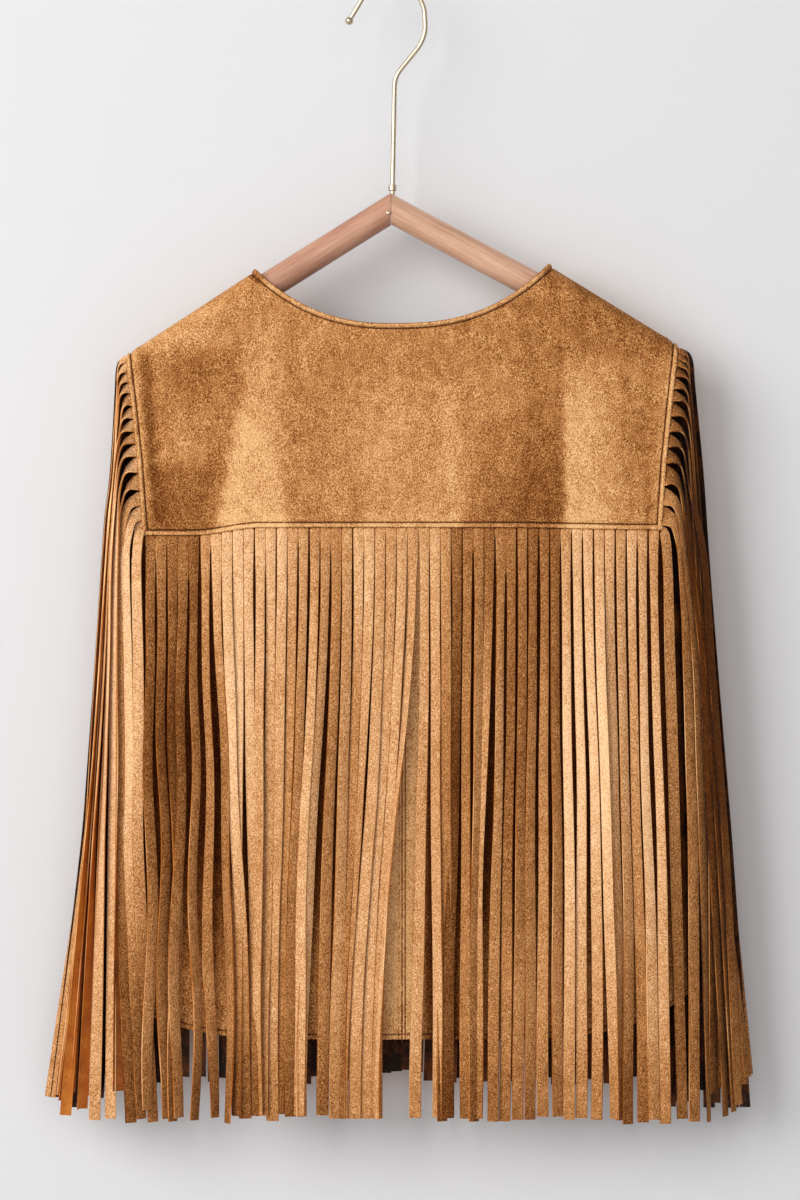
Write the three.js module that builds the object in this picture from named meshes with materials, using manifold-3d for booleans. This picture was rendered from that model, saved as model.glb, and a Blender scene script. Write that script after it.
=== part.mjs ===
// Fringe vest of faux suede on a dowel hanger with a wire hook.
// Millimetres. -Y is the vest's back, +X the wearer's right, +Z up.
// The origin is the inner crest of the hook, where the hanger bears on its peg.
import * as THREE from 'three';
import { mergeVertices } from 'three/addons/utils/BufferGeometryUtils.js';
import Module from 'manifold-3d';

const wasm = await Module();
wasm.setup();

// ---------------------------------------------------------------- sizes

// Cloth thicknesses, and the gap that pieces keep at seams
const CLOTH = 1.6;
const STRIP = 1.2;
const TURNED = 1.0;
const SEAM = 0.3;

// Hanger: two dowel arms mitred at the top, and a bent wire hook
const ARM_RADIUS = 10;
const ARM_LENGTH = 212;
const ARM_CHAMFER = 2;
const ARM_SLOPE = 30.1;        // degrees below level, on a hanger that hangs true
const ARM_TILT = 2;              // degrees that the hanger hangs with its right arm high
const APEX = -161.7;           // height where the arms' axes meet
const WIRE_RADIUS = 1.8;
const WIRE_DEPTH = 16;         // how far the wire's hole goes into the wood, below its top
const WIRE_X = 0.8;            // where the wire enters the wood
const HOLE_RADIUS = 2.4;
const HOOK_TIP = { x: -30.2, z: -25.6, radius: 3 };
const HOOK_CROWN = 24.5;       // radius of the hook's crown, to the wire's middle
const HOOK_BENDS = [           // in degrees, from the tip down to the shaft
  { x: 0, z: WIRE_RADIUS - HOOK_CROWN, radius: HOOK_CROWN, from: 146, to: 8, steps: 14 },
  { x: -5, z: -28, radius: 30, from: -6, to: -42, steps: 4 },
  { x: 23.5, z: -73.8, radius: 21, from: 138, to: 180, steps: 5 },
];
const SHAFT_MIDDLE = { x: 1.8, z: -112 };
const COLLAR = { x: 1, z: -146.5, radius: 3, height: 4.5 };
const NAIL = { x: -2, z: -165.5, radius: 1.4, height: 0.9, off: 0.5 };

// Vest: its middle line, and the rise of its right shoulder for each mm across
const MIDDLE = 8;
const LEAN = 0.0185;

// Shoulder fold over the dowels, with room for its facets, and the depth of the body below it
const FOLD_ROOM = 0.8;
const FOLD = ARM_RADIUS + FOLD_ROOM + CLOTH;
const DEPTH = 15.2;
const DEPTH_OPENS = 110;       // height over which the fold opens out to that depth
const SIDE_ROUND = 22;         // width over which a side curves in to its seam

// Neck and shoulders
const NECK_HALF = 105.8;
const NECK_TOP = -204.5;
const BACK_NECK = -245.2;      // lowest point of the back neckline
const FRONT_NECK = -330;
const SHOULDER_SLOPE = THREE.MathUtils.degToRad(32.3);
const TIP_ROUND = { from: 190, bend: 0.026 };

// Yoke seam, underarm and hem
const YOKE = -392.5;
const YOKE_DROOP = 4;          // how much lower the yoke seam lies at its ends
const UNDERARM = -455;
const HEM = -761;
const HEM_RISE = 36;           // how much higher the hem lies at the side seams
const FRONT_GAP = 4;           // from the middle line to each front edge

// Half the vest's width: armhole edge down to the underarm, side seam below it
const WIDTH = [
  { z: -263.7, half: 199.8 },
  { z: -300, half: 195.4 },
  { z: -345, half: 190.6 },
  { z: -396, half: 187 },
  { z: -425, half: 190.5 },
  { z: UNDERARM, half: 200 },
  { z: -600, half: 205.5 },
  { z: HEM, half: 211 },
];

// Soft flutes of the body below the yoke: how far each stands out at the hem
const FLUTES = [
  { x: -176, out: 0 },
  { x: -128, out: 2.4 },
  { x: -84, out: -1.8 },
  { x: -32, out: 2 },
  { x: 14, out: -1.6 },
  { x: 66, out: 2.4 },
  { x: 112, out: -2 },
  { x: 152, out: 1.4 },
  { x: 180, out: 0 },
];

// Turned edges
const EDGE_WIDTH = 3.4;
const YOKE_EDGE_WIDTH = 4.6;

// Fringe below the yokes: strands cut into one strip for each yoke
const BACK_FRINGE = { from: -185, to: 185, strands: 46, end: -817, off: 3.5 };
const FRONT_FRINGE = { from: 6, to: 185, strands: 22, end: -796, off: 2.5 };
const FRINGE_HEAD = 6;         // uncut strip above the strands
const FRINGE_SPRINGS = 160;    // height over which the strands come off the cloth
const SLOT = 1;                // width of a cut between strands

// Where the back fringe parts, and half the gap that has opened at its lower end
const PARTINGS = [
  { x: -65, half: 3 },
  { x: -5, half: 9 },
  { x: 19, half: 3.5 },
  { x: 39, half: 3.5 },
  { x: 59, half: 2.5 },
  { x: 167, half: 2 },
];
const PARTING_REACH = 28;      // width over which neighbouring strands give way

// Armhole fringe: it bends out of the armhole edge and hangs down as an open sleeve
const SLEEVE = { start: -266, stop: -397, end: -812, depth: 17.6, bend: 17, inner: 188.5 };
const SLEEVE_STRANDS = 8;
const SLEEVE_SLOT = 0.022;     // share of the sleeve's half round that a cut takes
const SLEEVE_OUT = [
  { z: -272, half: 207 },
  { z: -330, half: 212.5 },
  { z: -416, half: 218.5 },
  { z: -473, half: 222 },
  { z: -560, half: 228.5 },
  { z: -646, half: 238.5 },
  { z: -733, half: 246.5 },
  { z: -812, half: 256 },
];

const suede = new THREE.MeshStandardMaterial({ color: 0xc68e55, roughness: 0.95, metalness: 0 });
const suedeEdge = new THREE.MeshStandardMaterial({ color: 0xb67c45, roughness: 0.95, metalness: 0 });
const suedeFringe = new THREE.MeshStandardMaterial({ color: 0xbd834b, roughness: 0.95, metalness: 0 });
const beech = new THREE.MeshStandardMaterial({ color: 0xc79a76, roughness: 0.55, metalness: 0 });
const nickel = new THREE.MeshStandardMaterial({ color: 0xb9a990, roughness: 0.3, metalness: 1 });

const BACK = -1;
const FRONT = 1;
const LEFT = -1;
const RIGHT = 1;
const HANDS = [['left', LEFT], ['right', RIGHT]];

// ---------------------------------------------------------------- small helpers

const clamp01 = (t) => Math.min(1, Math.max(0, t));
const mix = (a, b, t) => a + (b - a) * t;
const smooth = (t) => clamp01(t) ** 2 * (3 - 2 * clamp01(t));
const radians = THREE.MathUtils.degToRad;

// Slope of a curve that is the same on both sides of the middle line
const slopeOf = (curve, x, step = 0.01) => (curve(Math.abs(x) + step) - curve(Math.abs(x))) / step;

// Reads column `value` of a table at `at` in column `key`, with rows in rising or falling order
function lookUp(table, key, value, at, ease = (t) => t) {
  const falling = table[0][key] > table[1][key];
  const past = (row) => (falling ? at > row[key] : at < row[key]);
  const next = table.findIndex((row, i) => i > 0 && past(row));
  const i = next === -1 ? table.length - 1 : next;
  const share = clamp01((at - table[i - 1][key]) / (table[i][key] - table[i - 1][key]));
  return mix(table[i - 1][value], table[i][value], ease(share));
}

// `steps` + 1 numbers from a to b
const evenly = (a, b, steps) => Array.from({ length: steps + 1 }, (_, i) => mix(a, b, i / steps));

function solidOf(geometry) {
  const bare = geometry.clone();
  bare.deleteAttribute('normal');
  bare.deleteAttribute('uv');
  const merged = mergeVertices(bare, 1e-4);
  return new wasm.Manifold(new wasm.Mesh({
    numProp: 3,
    vertProperties: merged.attributes.position.array,
    triVerts: new Uint32Array(merged.index.array),
  }));
}

function geometryOf(solid) {
  const { vertProperties, triVerts } = solid.getMesh();
  const geometry = new THREE.BufferGeometry();
  geometry.setAttribute('position', new THREE.BufferAttribute(vertProperties, 3));
  geometry.setIndex(new THREE.BufferAttribute(triVerts, 1));
  return geometry;
}

function named(name, geometry, material) {
  const mesh = new THREE.Mesh(geometry, material);
  mesh.name = name;
  return mesh;
}

// ---------------------------------------------------------------- the vest's form

const halfWidth = (z) => lookUp(WIDTH, 'z', 'half', z);

// Crest of the shoulder fold, carried on over the neck
function ridge(x) {
  const fromTip = Math.max(0, Math.abs(x) - TIP_ROUND.from);
  const slope = (Math.abs(x) - NECK_HALF) * Math.tan(SHOULDER_SLOPE);
  return NECK_TOP - slope - TIP_ROUND.bend * fromTip ** 2;
}

const backNeck = (x) => BACK_NECK + (NECK_TOP - BACK_NECK) * (Math.abs(x) / NECK_HALF) ** 2.5;
const frontNeck = (x) => FRONT_NECK + (NECK_TOP - FRONT_NECK) * (Math.abs(x) / NECK_HALF) ** 1.4;
const yokeSeam = (x) => YOKE - YOKE_DROOP * (Math.abs(x) / halfWidth(YOKE)) ** 2.5;
const hem = (x) => HEM + HEM_RISE * (Math.abs(x) / halfWidth(HEM)) ** 5;

const FOLD_HEIGHT = FOLD / Math.cos(SHOULDER_SLOPE);

// Distance of the body's outer face from the middle plane, clear of the folds at its edges
function bodyDepth(x, z) {
  const below = smooth((ridge(x) - FOLD_HEIGHT - z) / DEPTH_OPENS);
  const fluted = clamp01((YOKE - z) / (YOKE - HEM));
  return mix(FOLD, DEPTH, below) + fluted * lookUp(FLUTES, 'x', 'out', x, smooth);
}

// 0 along the open armhole, 1 from the underarm down, where back and front meet
const closed = (z) => smooth((YOKE - YOKE_DROOP - z) / (YOKE - YOKE_DROOP - UNDERARM));

// Puts a point of the symmetrical vest where it hangs
function hang(x, y, z) {
  const lifted = clamp01((z - YOKE) / (WIDTH[0].z - YOKE));
  return new THREE.Vector3(x + MIDDLE, y, z + LEAN * x * lifted);
}

// Angle by which the shoulder fold has turned down at (x, z), from its crest
const foldAngle = (x, z) => Math.acos(1 - clamp01((ridge(x) - z) / FOLD_HEIGHT));

// Point of the body's outer face at (x, z), moved `out` along the face's normal.
// It bends over the shoulder fold at the top and round to the side seam at the sides.
function body(side, x, z, out) {
  const over = foldAngle(x, z);
  const round = Math.acos(1 - clamp01((halfWidth(z) - Math.abs(x)) / SIDE_ROUND));
  const shut = closed(z);
  const depth = (bodyDepth(x, z) + out) * Math.sin(over) * mix(1, Math.sin(round), shut);
  const up = (out / Math.cos(SHOULDER_SLOPE)) * Math.cos(over);
  return hang(x + Math.sign(x) * out * Math.cos(round) * shut, side * depth, z + up);
}

// Share of the shoulder fold's height, and of the side's round, that leaves half a seam
const FOLD_START = 1 - Math.cos(Math.asin(SEAM / 2 / FOLD));
const ROUND_START = 1 - Math.cos(Math.asin(SEAM / 2 / DEPTH));

// ---------------------------------------------------------------- walls

// Closed wall over a grid. face(i, j, layer) gives its points: layer 0 outside, 1 inside.
// Cells for which open(i, j) holds are left out, with rims round them.
function wall(name, material, rows, columns, face, open = () => false) {
  const layers = [0, 1].map((layer) => Array.from({ length: rows + 1 }, (_, i) =>
    Array.from({ length: columns + 1 }, (_, j) => face(i, j, layer))));
  const solidCell = (i, j) => i >= 0 && j >= 0 && i < rows && j < columns && !open(i, j);
  const points = [];
  const quad = (a, b, c, d) => points.push(a, b, c, a, c, d);
  for (let i = 0; i < rows; i++) {
    for (let j = 0; j < columns; j++) {
      if (!solidCell(i, j)) continue;
      const [outer, inner] = layers.map((at) => [at[i][j], at[i + 1][j], at[i + 1][j + 1], at[i][j + 1]]);
      quad(...outer);
      quad(inner[0], inner[3], inner[2], inner[1]);
      const neighbours = [[i, j - 1], [i + 1, j], [i, j + 1], [i - 1, j]];
      neighbours.forEach(([ni, nj], k) => {
        if (!solidCell(ni, nj)) quad(outer[(k + 1) % 4], outer[k], inner[k], inner[(k + 1) % 4]);
      });
    }
  }
  const volume = points.reduce((sum, point, k) =>
    (k % 3 ? sum : sum + point.dot(points[k + 1].clone().cross(points[k + 2]))), 0);
  if (volume < 0) {
    for (let k = 0; k < points.length; k += 3) [points[k], points[k + 1]] = [points[k + 1], points[k]];
  }
  return named(name, mergeVertices(new THREE.BufferGeometry().setFromPoints(points), 1e-4), material);
}

// Panel of the body: at(i, j) gives (x, z), and its two faces lie CLOTH apart
function panel(name, side, rows, columns, at) {
  const face = (i, j, layer) => body(side, ...at(i, j), -CLOTH * layer);
  return wall(name, suede, rows, columns, face);
}

// Turned edge: a band over the given rows and columns of a panel's own grid, moved out
function turnedEdge(name, side, rows, columns, at) {
  const face = (i, j, layer) => body(side, ...at(rows[i], columns[j]), SEAM + TURNED * (1 - layer));
  return wall(name, suedeEdge, rows.length - 1, columns.length - 1, face);
}

// ---------------------------------------------------------------- yokes

const TIP = WIDTH[0].half;
const NECK_COLUMNS = [20, 40, 58, 74, 88, 97, 102, 104.8];
const SHOULDER_COLUMNS = [NECK_HALF, 122, 141, 160, 179, 190, TIP - EDGE_WIDTH, TIP];
const FOLD_ROWS = [FOLD_START, ...[25, 50, 72, 90].map((angle) =>
  1 - Math.cos(radians(angle)))];
const FLAT_ROWS = 3;
const YOKE_ROWS = FOLD_ROWS.length + FLAT_ROWS;

// (x, z) of a yoke's grid, for the column that starts `across` mm out on the shoulder line.
// The rows follow the shoulder fold, and below it run to the seam, the last one as its edge.
function yokePoint(across, row, neck) {
  const inNeck = Math.abs(across) < NECK_HALF;
  const top = inNeck ? neck(across) : ridge(across);
  const edge = inNeck && row > 0 ? EDGE_WIDTH * Math.hypot(1, slopeOf(neck, across)) : 0;
  const folded = top - edge - FOLD_ROWS[Math.min(row, FOLD_ROWS.length - 1)] * FOLD_HEIGHT;
  const seam = yokeSeam(across * halfWidth(YOKE) / TIP) + SEAM / 2;
  const share = (row - FOLD_ROWS.length + 1) / FLAT_ROWS;
  const flat = row === YOKE_ROWS ? seam : mix(folded, seam + YOKE_EDGE_WIDTH, share);
  const z = row < FOLD_ROWS.length ? folded : flat;
  return [across * halfWidth(z) / TIP, z];
}

// A yoke with the turned edges along its neck, its armholes and its seam
function yoke(side, place, across, neck, armholes) {
  const at = (i, j) => yokePoint(across[j], i, neck);
  const rows = Array.from({ length: YOKE_ROWS + 1 }, (_, i) => i);
  const columns = across.map((_, j) => j);
  const inNeck = columns.filter((j) => Math.abs(across[j]) <= NECK_HALF);
  const clear = columns.filter((j) => Math.abs(across[j]) < TIP - EDGE_WIDTH);
  const seamEdge = (i, j) => {
    const [x, z] = at(i, j);
    const last = halfWidth(YOKE) - EDGE_WIDTH - SEAM;
    return [THREE.MathUtils.clamp(x, -last, last), z];
  };
  return [
    panel(place, side, YOKE_ROWS, across.length - 1, at),
    turnedEdge(`${place}_neck_edge`, side, rows.slice(0, 2), inNeck, at),
    turnedEdge(`${place}_seam_edge`, side, rows.slice(-2), clear, seamEdge),
    ...armholes.map(([hand, pair]) => turnedEdge(`${place}_armhole_edge${hand}`, side, rows, pair, at)),
  ];
}

function yokes() {
  const half = [...NECK_COLUMNS, ...SHOULDER_COLUMNS];
  const back = [...half.map((x) => -x).reverse(), 0, ...half];
  const front = [FRONT_GAP, ...half];
  const last = back.length - 1;
  return [
    ...yoke(BACK, 'back_yoke', back, backNeck, [['_left', [0, 1]], ['_right', [last - 1, last]]]),
    ...HANDS.flatMap(([hand, sign]) => yoke(FRONT, `front_yoke_${hand}`, front.map((x) => sign * x),
      frontNeck, [['', [front.length - 2, front.length - 1]]])),
  ];
}

// ---------------------------------------------------------------- lower panels

const ROUND_COLUMNS = [...[62, 36, 14].map((angle) => 1 - Math.cos(radians(angle))), ROUND_START];
const PANEL_COLUMNS = 7;
const PANEL_ROWS = [0, 0.07, 0.16, 0.4, 0.7, 1];

// One lower panel, from `edge` near the middle line to the side seam
function lowerPanel(name, side, sign, edge) {
  const columns = PANEL_COLUMNS + ROUND_COLUMNS.length;
  return panel(name, side, PANEL_ROWS.length - 1, columns, (i, j) => {
    const across = (z) => (j <= PANEL_COLUMNS
      ? mix(edge, halfWidth(z) - SIDE_ROUND, j / PANEL_COLUMNS)
      : halfWidth(z) - SIDE_ROUND * ROUND_COLUMNS[j - PANEL_COLUMNS - 1]);
    const top = yokeSeam(across(YOKE)) - SEAM / 2;
    const z = mix(top, hem(across(HEM)), PANEL_ROWS[i]);
    return [sign * across(z), z];
  });
}

// ---------------------------------------------------------------- fringe

// How far the partings have pushed a strand of the back fringe aside at its lower end
const parted = (x) => PARTINGS.reduce((push, gap) =>
  push + Math.sign(x - gap.x) * gap.half * Math.exp(-Math.abs(x - gap.x) / PARTING_REACH), 0);

// Strip of fringe sewn in under a yoke: an uncut head, and the strands cut below it
function yokeFringe(name, side, sign, fringe, pushed = () => 0) {
  const pitch = (fringe.to - fringe.from) / fringe.strands;
  const cuts = Array.from({ length: fringe.strands }, (_, k) =>
    [fringe.from + k * pitch + SLOT / 2, fringe.from + (k + 1) * pitch - SLOT / 2]).flat();
  const drops = [0, 0, 0.4, 1];
  const face = (i, j, layer) => {
    const sewn = sign * cuts[j];
    const strand = (cuts[j - j % 2] + cuts[j + 1 - j % 2]) / 2;
    const x = sewn + pushed(sign * strand) * drops[i];
    const head = yokeSeam(sewn) - SEAM / 2;
    const top = i === 0 ? head : head - FRINGE_HEAD;
    const z = mix(top, fringe.end, drops[i]);
    const off = SEAM + fringe.off * smooth((YOKE - z) / FRINGE_SPRINGS) + STRIP * (1 - layer);
    return hang(x, side * (bodyDepth(x, z) + off), z);
  };
  const slot = (i, j) => i > 0 && j % 2 === 1;
  return wall(name, suedeFringe, drops.length - 1, cuts.length - 1, face, slot);
}

// Middle surface of the armhole fringe: `along` runs down the armhole, `down` along the strands
function sleevePoint(side, sign, along, down) {
  const root = mix(SLEEVE.start, SLEEVE.stop, along);
  const edge = halfWidth(root);
  const rootHalf = edge + SEAM + STRIP / 2;
  const z = mix(root, SLEEVE.end, down);
  const column = mix(SLEEVE.inner, lookUp(SLEEVE_OUT, 'z', 'half', z), Math.cos(along * Math.PI / 2));
  const bent = 1 - Math.exp((z - root) / SLEEVE.bend);
  const swing = Math.sin(along * Math.PI / 2);
  const rootDepth = (bodyDepth(edge, root) - CLOTH / 2) * Math.sin(foldAngle(edge, root));
  const depth = mix(rootDepth, SLEEVE.depth * swing, bent);
  return hang(sign * mix(rootHalf, column, bent), side * depth, z);
}

function armholeFringe(name, side, sign) {
  const start = SEAM / 2 / SLEEVE.depth / (Math.PI / 2);
  const pitch = (1 - start + SLEEVE_SLOT) / SLEEVE_STRANDS;
  const along = Array.from({ length: SLEEVE_STRANDS }, (_, k) =>
    [start + k * pitch, start + (k + 1) * pitch - SLEEVE_SLOT]).flat();
  const down = [0, 0.02, 0.05, 0.1, 0.2, 0.5, 1];
  const slot = (i, j) => i > 1 && j % 2 === 1;
  const face = (i, j, layer) => {
    const tiny = 1e-3;
    const at = (a, d) => sleevePoint(side, sign, a, d);
    const point = at(along[j], down[i]);
    const across = at(along[j] + tiny, down[i]).sub(at(along[j] - tiny, down[i]));
    const hanging = at(along[j], down[i] + tiny).sub(point);
    const normal = across.cross(hanging).normalize().multiplyScalar(side * sign);
    return point.addScaledVector(normal, STRIP * (0.5 - layer));
  };
  return wall(name, suedeFringe, down.length - 1, along.length - 1, face, slot);
}

// ---------------------------------------------------------------- hanger

const JOINT_TOP = APEX + ARM_RADIUS / Math.cos(radians(ARM_SLOPE));

// One dowel arm, mitred at the middle plane and drilled for the wire
function arm(hand, sign) {
  const profile = [
    [0, -ARM_RADIUS], [ARM_RADIUS, -ARM_RADIUS], [ARM_RADIUS, ARM_LENGTH - ARM_CHAMFER],
    [ARM_RADIUS - ARM_CHAMFER, ARM_LENGTH], [0, ARM_LENGTH],
  ].map(([radius, length]) => new THREE.Vector2(radius, length));
  const dowel = new THREE.LatheGeometry(profile, 32)
    .rotateZ(-sign * radians(90 + ARM_SLOPE - sign * ARM_TILT))
    .rotateX(Math.PI / 2)
    .translate(0, 0, APEX);
  const cut = 6 * ARM_RADIUS;
  const beyondMitre = new THREE.BoxGeometry(cut, cut, cut).translate(sign * (SEAM - cut) / 2, 0, APEX);
  const hole = new THREE.CylinderGeometry(HOLE_RADIUS, HOLE_RADIUS, 2 * WIRE_DEPTH, 20)
    .rotateX(Math.PI / 2)
    .translate(WIRE_X, 0, JOINT_TOP);
  const solid = solidOf(dowel).subtract(solidOf(beyondMitre)).subtract(solidOf(hole));
  return named(`hanger_arm_${hand}`, geometryOf(solid), beech);
}

// Middle line of the wire through one of the hook's bends
const bend = ({ x, z, radius, from, to, steps }) => evenly(from, to, steps).map((degrees) =>
  new THREE.Vector3(x + radius * Math.cos(radians(degrees)), 0, z + radius * Math.sin(radians(degrees))));

function hook() {
  const tip = new THREE.Vector3(HOOK_TIP.x, 0, HOOK_TIP.z);
  const middleLine = [
    tip,
    ...HOOK_BENDS.flatMap(bend),
    new THREE.Vector3(SHAFT_MIDDLE.x, 0, SHAFT_MIDDLE.z),
    new THREE.Vector3(WIRE_X, 0, JOINT_TOP - WIRE_DEPTH + SEAM),
  ];
  const section = new THREE.Shape().absarc(0, 0, WIRE_RADIUS, 0, 2 * Math.PI);
  const wire = new THREE.ExtrudeGeometry(section, {
    steps: 56,
    curveSegments: 5,
    extrudePath: new THREE.CatmullRomCurve3(middleLine, false, 'centripetal'),
  });
  const ball = new THREE.SphereGeometry(HOOK_TIP.radius, 12, 8).translate(...tip);
  const collar = new THREE.CylinderGeometry(COLLAR.radius, COLLAR.radius, COLLAR.height, 6)
    .rotateX(Math.PI / 2)
    .translate(COLLAR.x, 0, COLLAR.z);
  const solid = solidOf(wire).add(solidOf(ball)).add(solidOf(collar));
  return named('hanger_hook', geometryOf(solid), nickel);
}

// Head of the nail that holds the mitre, on the face of the left arm
function nail() {
  const slope = radians(ARM_SLOPE + ARM_TILT);
  const offAxis = (NAIL.z - (APEX + NAIL.x * Math.tan(slope))) * Math.cos(slope);
  const face = Math.sqrt(ARM_RADIUS ** 2 - offAxis ** 2) + NAIL.off + NAIL.height / 2;
  const head = new THREE.CylinderGeometry(NAIL.radius, NAIL.radius, NAIL.height, 16);
  return named('hanger_nail', head.translate(NAIL.x, -face, NAIL.z), nickel);
}

// ---------------------------------------------------------------- assembly

const hanger = new THREE.Group();
hanger.add(hook(), nail(), ...HANDS.map(([hand, sign]) => arm(hand, sign)));

const vest = new THREE.Group();
vest.add(...yokes(), yokeFringe('fringe_back', BACK, RIGHT, BACK_FRINGE, parted));
for (const [hand, sign] of HANDS) {
  vest.add(
    lowerPanel(`back_${hand}`, BACK, sign, SEAM / 2),
    lowerPanel(`front_${hand}`, FRONT, sign, FRONT_GAP),
    yokeFringe(`fringe_front_${hand}`, FRONT, sign, FRONT_FRINGE),
    armholeFringe(`fringe_armhole_back_${hand}`, BACK, sign),
    armholeFringe(`fringe_armhole_front_${hand}`, FRONT, sign),
  );
}

const vestOnHanger = new THREE.Group();
vestOnHanger.add(hanger, vest);
export default vestOnHanger;
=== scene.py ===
"""Looks of a fringe vest of faux suede, hung on a dowel hanger with a wire hook.

Sizes are millimetres in the frame of the part: -Y is the vest's back, +X the wearer's right,
+Z up, and the origin is the inner crest of the hook. `metres` turns them to Blender's units.
"""
import math
import random

import bmesh
import bpy
from mathutils import Matrix, Vector, noise


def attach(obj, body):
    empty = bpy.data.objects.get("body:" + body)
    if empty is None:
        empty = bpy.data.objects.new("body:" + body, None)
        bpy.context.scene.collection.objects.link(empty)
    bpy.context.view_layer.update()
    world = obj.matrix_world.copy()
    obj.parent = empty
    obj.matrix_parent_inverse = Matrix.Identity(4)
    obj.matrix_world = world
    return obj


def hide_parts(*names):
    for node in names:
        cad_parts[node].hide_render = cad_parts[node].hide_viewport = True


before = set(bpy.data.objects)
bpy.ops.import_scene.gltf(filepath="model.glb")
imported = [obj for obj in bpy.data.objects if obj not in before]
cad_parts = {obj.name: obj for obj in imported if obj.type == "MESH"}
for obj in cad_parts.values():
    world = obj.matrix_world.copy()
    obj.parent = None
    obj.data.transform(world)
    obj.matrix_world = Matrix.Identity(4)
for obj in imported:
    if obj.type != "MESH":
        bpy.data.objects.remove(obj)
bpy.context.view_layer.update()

# ---------------------------------------------------------------- sizes

MM = 0.001

# Cloth and seams
CLOTH = 1.6
STRAND_THICK = 0.9
SEAM = 0.3

# Hanger
ARM_RADIUS = 10
ARM_LENGTH = 212
ARM_SLOPE = 30.1
ARM_TILT = 2
APEX = -161.7
WIRE_RADIUS = 1.8
WIRE_DEPTH = 16
WIRE_X = 0.8
HOLE_RADIUS = 2.4
HOOK_TIP = (-30.2, -25.6)
TIP_RADIUS = 3
HOOK_BENDS = [  # middle x and z, radius, first and last angle in degrees, steps
    (0, -22.7, 24.5, 146, 8, 24),
    (-5, -28, 30, -6, -42, 8),
    (23.5, -73.8, 21, 138, 180, 10),
]
SHAFT_MIDDLE = (1.8, -112)
COLLAR = {"x": 1, "z": -146.5, "radius": 3, "height": 4.5, "bevel": 0.5}
NAIL = {"x": -2, "z": -165.5, "radius": 1.4, "height": 0.9, "off": 0.5}

# Form of the vest
MIDDLE = 8       # x of its middle line
LEAN = 0.0185    # rise of the shoulders for each mm to the right
FOLD_ROOM = 0.8  # between the hanger's arm and the cloth folded over it
FOLD = ARM_RADIUS + FOLD_ROOM + CLOTH
DEPTH = 15.2     # of the back and front from the middle plane
DEPTH_OPENS = 110  # drop from the fold in which they get that far
SIDE_ROUND = 22  # width over which a closed side is rounded
NECK_HALF = 105.8
NECK_REACH = 12  # how far past it the neck's turned edge still shows
NECK_TOP = -204.5
BACK_NECK = -245.2
FRONT_NECK = -330
BACK_NECK_POWER = 2.5  # the higher, the flatter the curve's middle
FRONT_NECK_POWER = 1.4
SHOULDER_SLOPE = math.radians(32.3)
TIP_FROM = 190   # where the shoulder starts to droop to its tip
TIP_BEND = 0.026
YOKE = -392.5
LEFT_DIP = (5.6, 102, 150)  # how far the yoke's seam dips towards the side, from and to across
RIGHT_DIP = (1.6, 60, 187)
ARMHOLE_END = -396.5
UNDERARM = -455
HEM = -761
HEM_RISE = 36
HEM_POWER = 5
FRONT_GAP = 4
TIP = 199.8
WIDTH = [  # height, half width
    (-263.7, TIP), (-300, 195.4), (-345, 190.6), (-396, 187),
    (-425, 190.5), (UNDERARM, 200), (-600, 205.5), (HEM, 211),
]
FLUTES = [  # place across, how far the flute stands out at the hem
    (-176, 0), (-128, 2.4), (-84, -1.8), (-32, 2), (14, -1.6), (66, 2.4), (112, -2), (152, 1.4), (180, 0),
]
FOLD_HEIGHT = FOLD / math.cos(SHOULDER_SLOPE)

# Fringe
BACK_STRANDS = 47
FRONT_STRANDS = 22
FRINGE_HALF = 185
FRONT_FROM = 6   # from the middle line to the first strand of a front
BACK_END = -817
FRONT_END = -796
STRAND_WIDTH = 8.6
SLEEVE_DEPTH = 17.6  # of the armhole fringe from the middle plane, at its lower end
SLEEVE_STRANDS = 14

BACK, FRONT = -1, 1
LEFT, RIGHT = -1, 1
HANDS = (("left", LEFT), ("right", RIGHT))

# ---------------------------------------------------------------- small helpers


def clamp01(t):
    return min(1.0, max(0.0, t))


def mix(a, b, t):
    return a + (b - a) * t


def smooth(t):
    t = clamp01(t)
    return t * t * (3 - 2 * t)


def look_up(table, at, eased=False):
    """The second column of a table at `at` in its first, with rows in rising or falling order."""
    falling = table[0][0] > table[1][0]
    for (a, low), (b, high) in zip(table, table[1:]):
        if (at > b) == falling and at != b or b == table[-1][0]:
            share = clamp01((at - a) / (b - a))
            return mix(low, high, smooth(share) if eased else share)


def curve_through(rows, t):
    """A smooth curve through rows of (share, value), read at share t. Values are numbers or Vectors."""
    last = len(rows) - 1
    k = max(i for i in range(last) if rows[i][0] <= t or i == 0)
    (t0, a), (t1, b) = rows[k], rows[k + 1]
    before, after = rows[max(k - 1, 0)], rows[min(k + 2, last)]
    span = t1 - t0
    u = clamp01((t - t0) / span)
    slope_a = (b - before[1]) / (t1 - before[0])
    slope_b = (after[1] - a) / (after[0] - t0)
    u2, u3 = u * u, u * u * u
    return (a * (2 * u3 - 3 * u2 + 1) + b * (3 * u2 - 2 * u3)
            + slope_a * (span * (u3 - 2 * u2 + u)) + slope_b * (span * (u3 - u2)))


def evenly(a, b, steps):
    return [mix(a, b, i / steps) for i in range(steps + 1)]


def metres(point):
    return Vector(point) * MM


# ---------------------------------------------------------------- the vest's form

TINY = 0.01  # step in mm over which a slope is taken


def half_width(z):
    return look_up(WIDTH, z)


def ridge(x):
    """Crest of the shoulder fold, carried on over the neck."""
    slope = (abs(x) - NECK_HALF) * math.tan(SHOULDER_SLOPE)
    return NECK_TOP - slope - TIP_BEND * max(0, abs(x) - TIP_FROM) ** 2


def back_neck(x):
    return BACK_NECK + (NECK_TOP - BACK_NECK) * (abs(x) / NECK_HALF) ** BACK_NECK_POWER


def front_neck(x):
    return FRONT_NECK + (NECK_TOP - FRONT_NECK) * (abs(x) / NECK_HALF) ** FRONT_NECK_POWER


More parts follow.
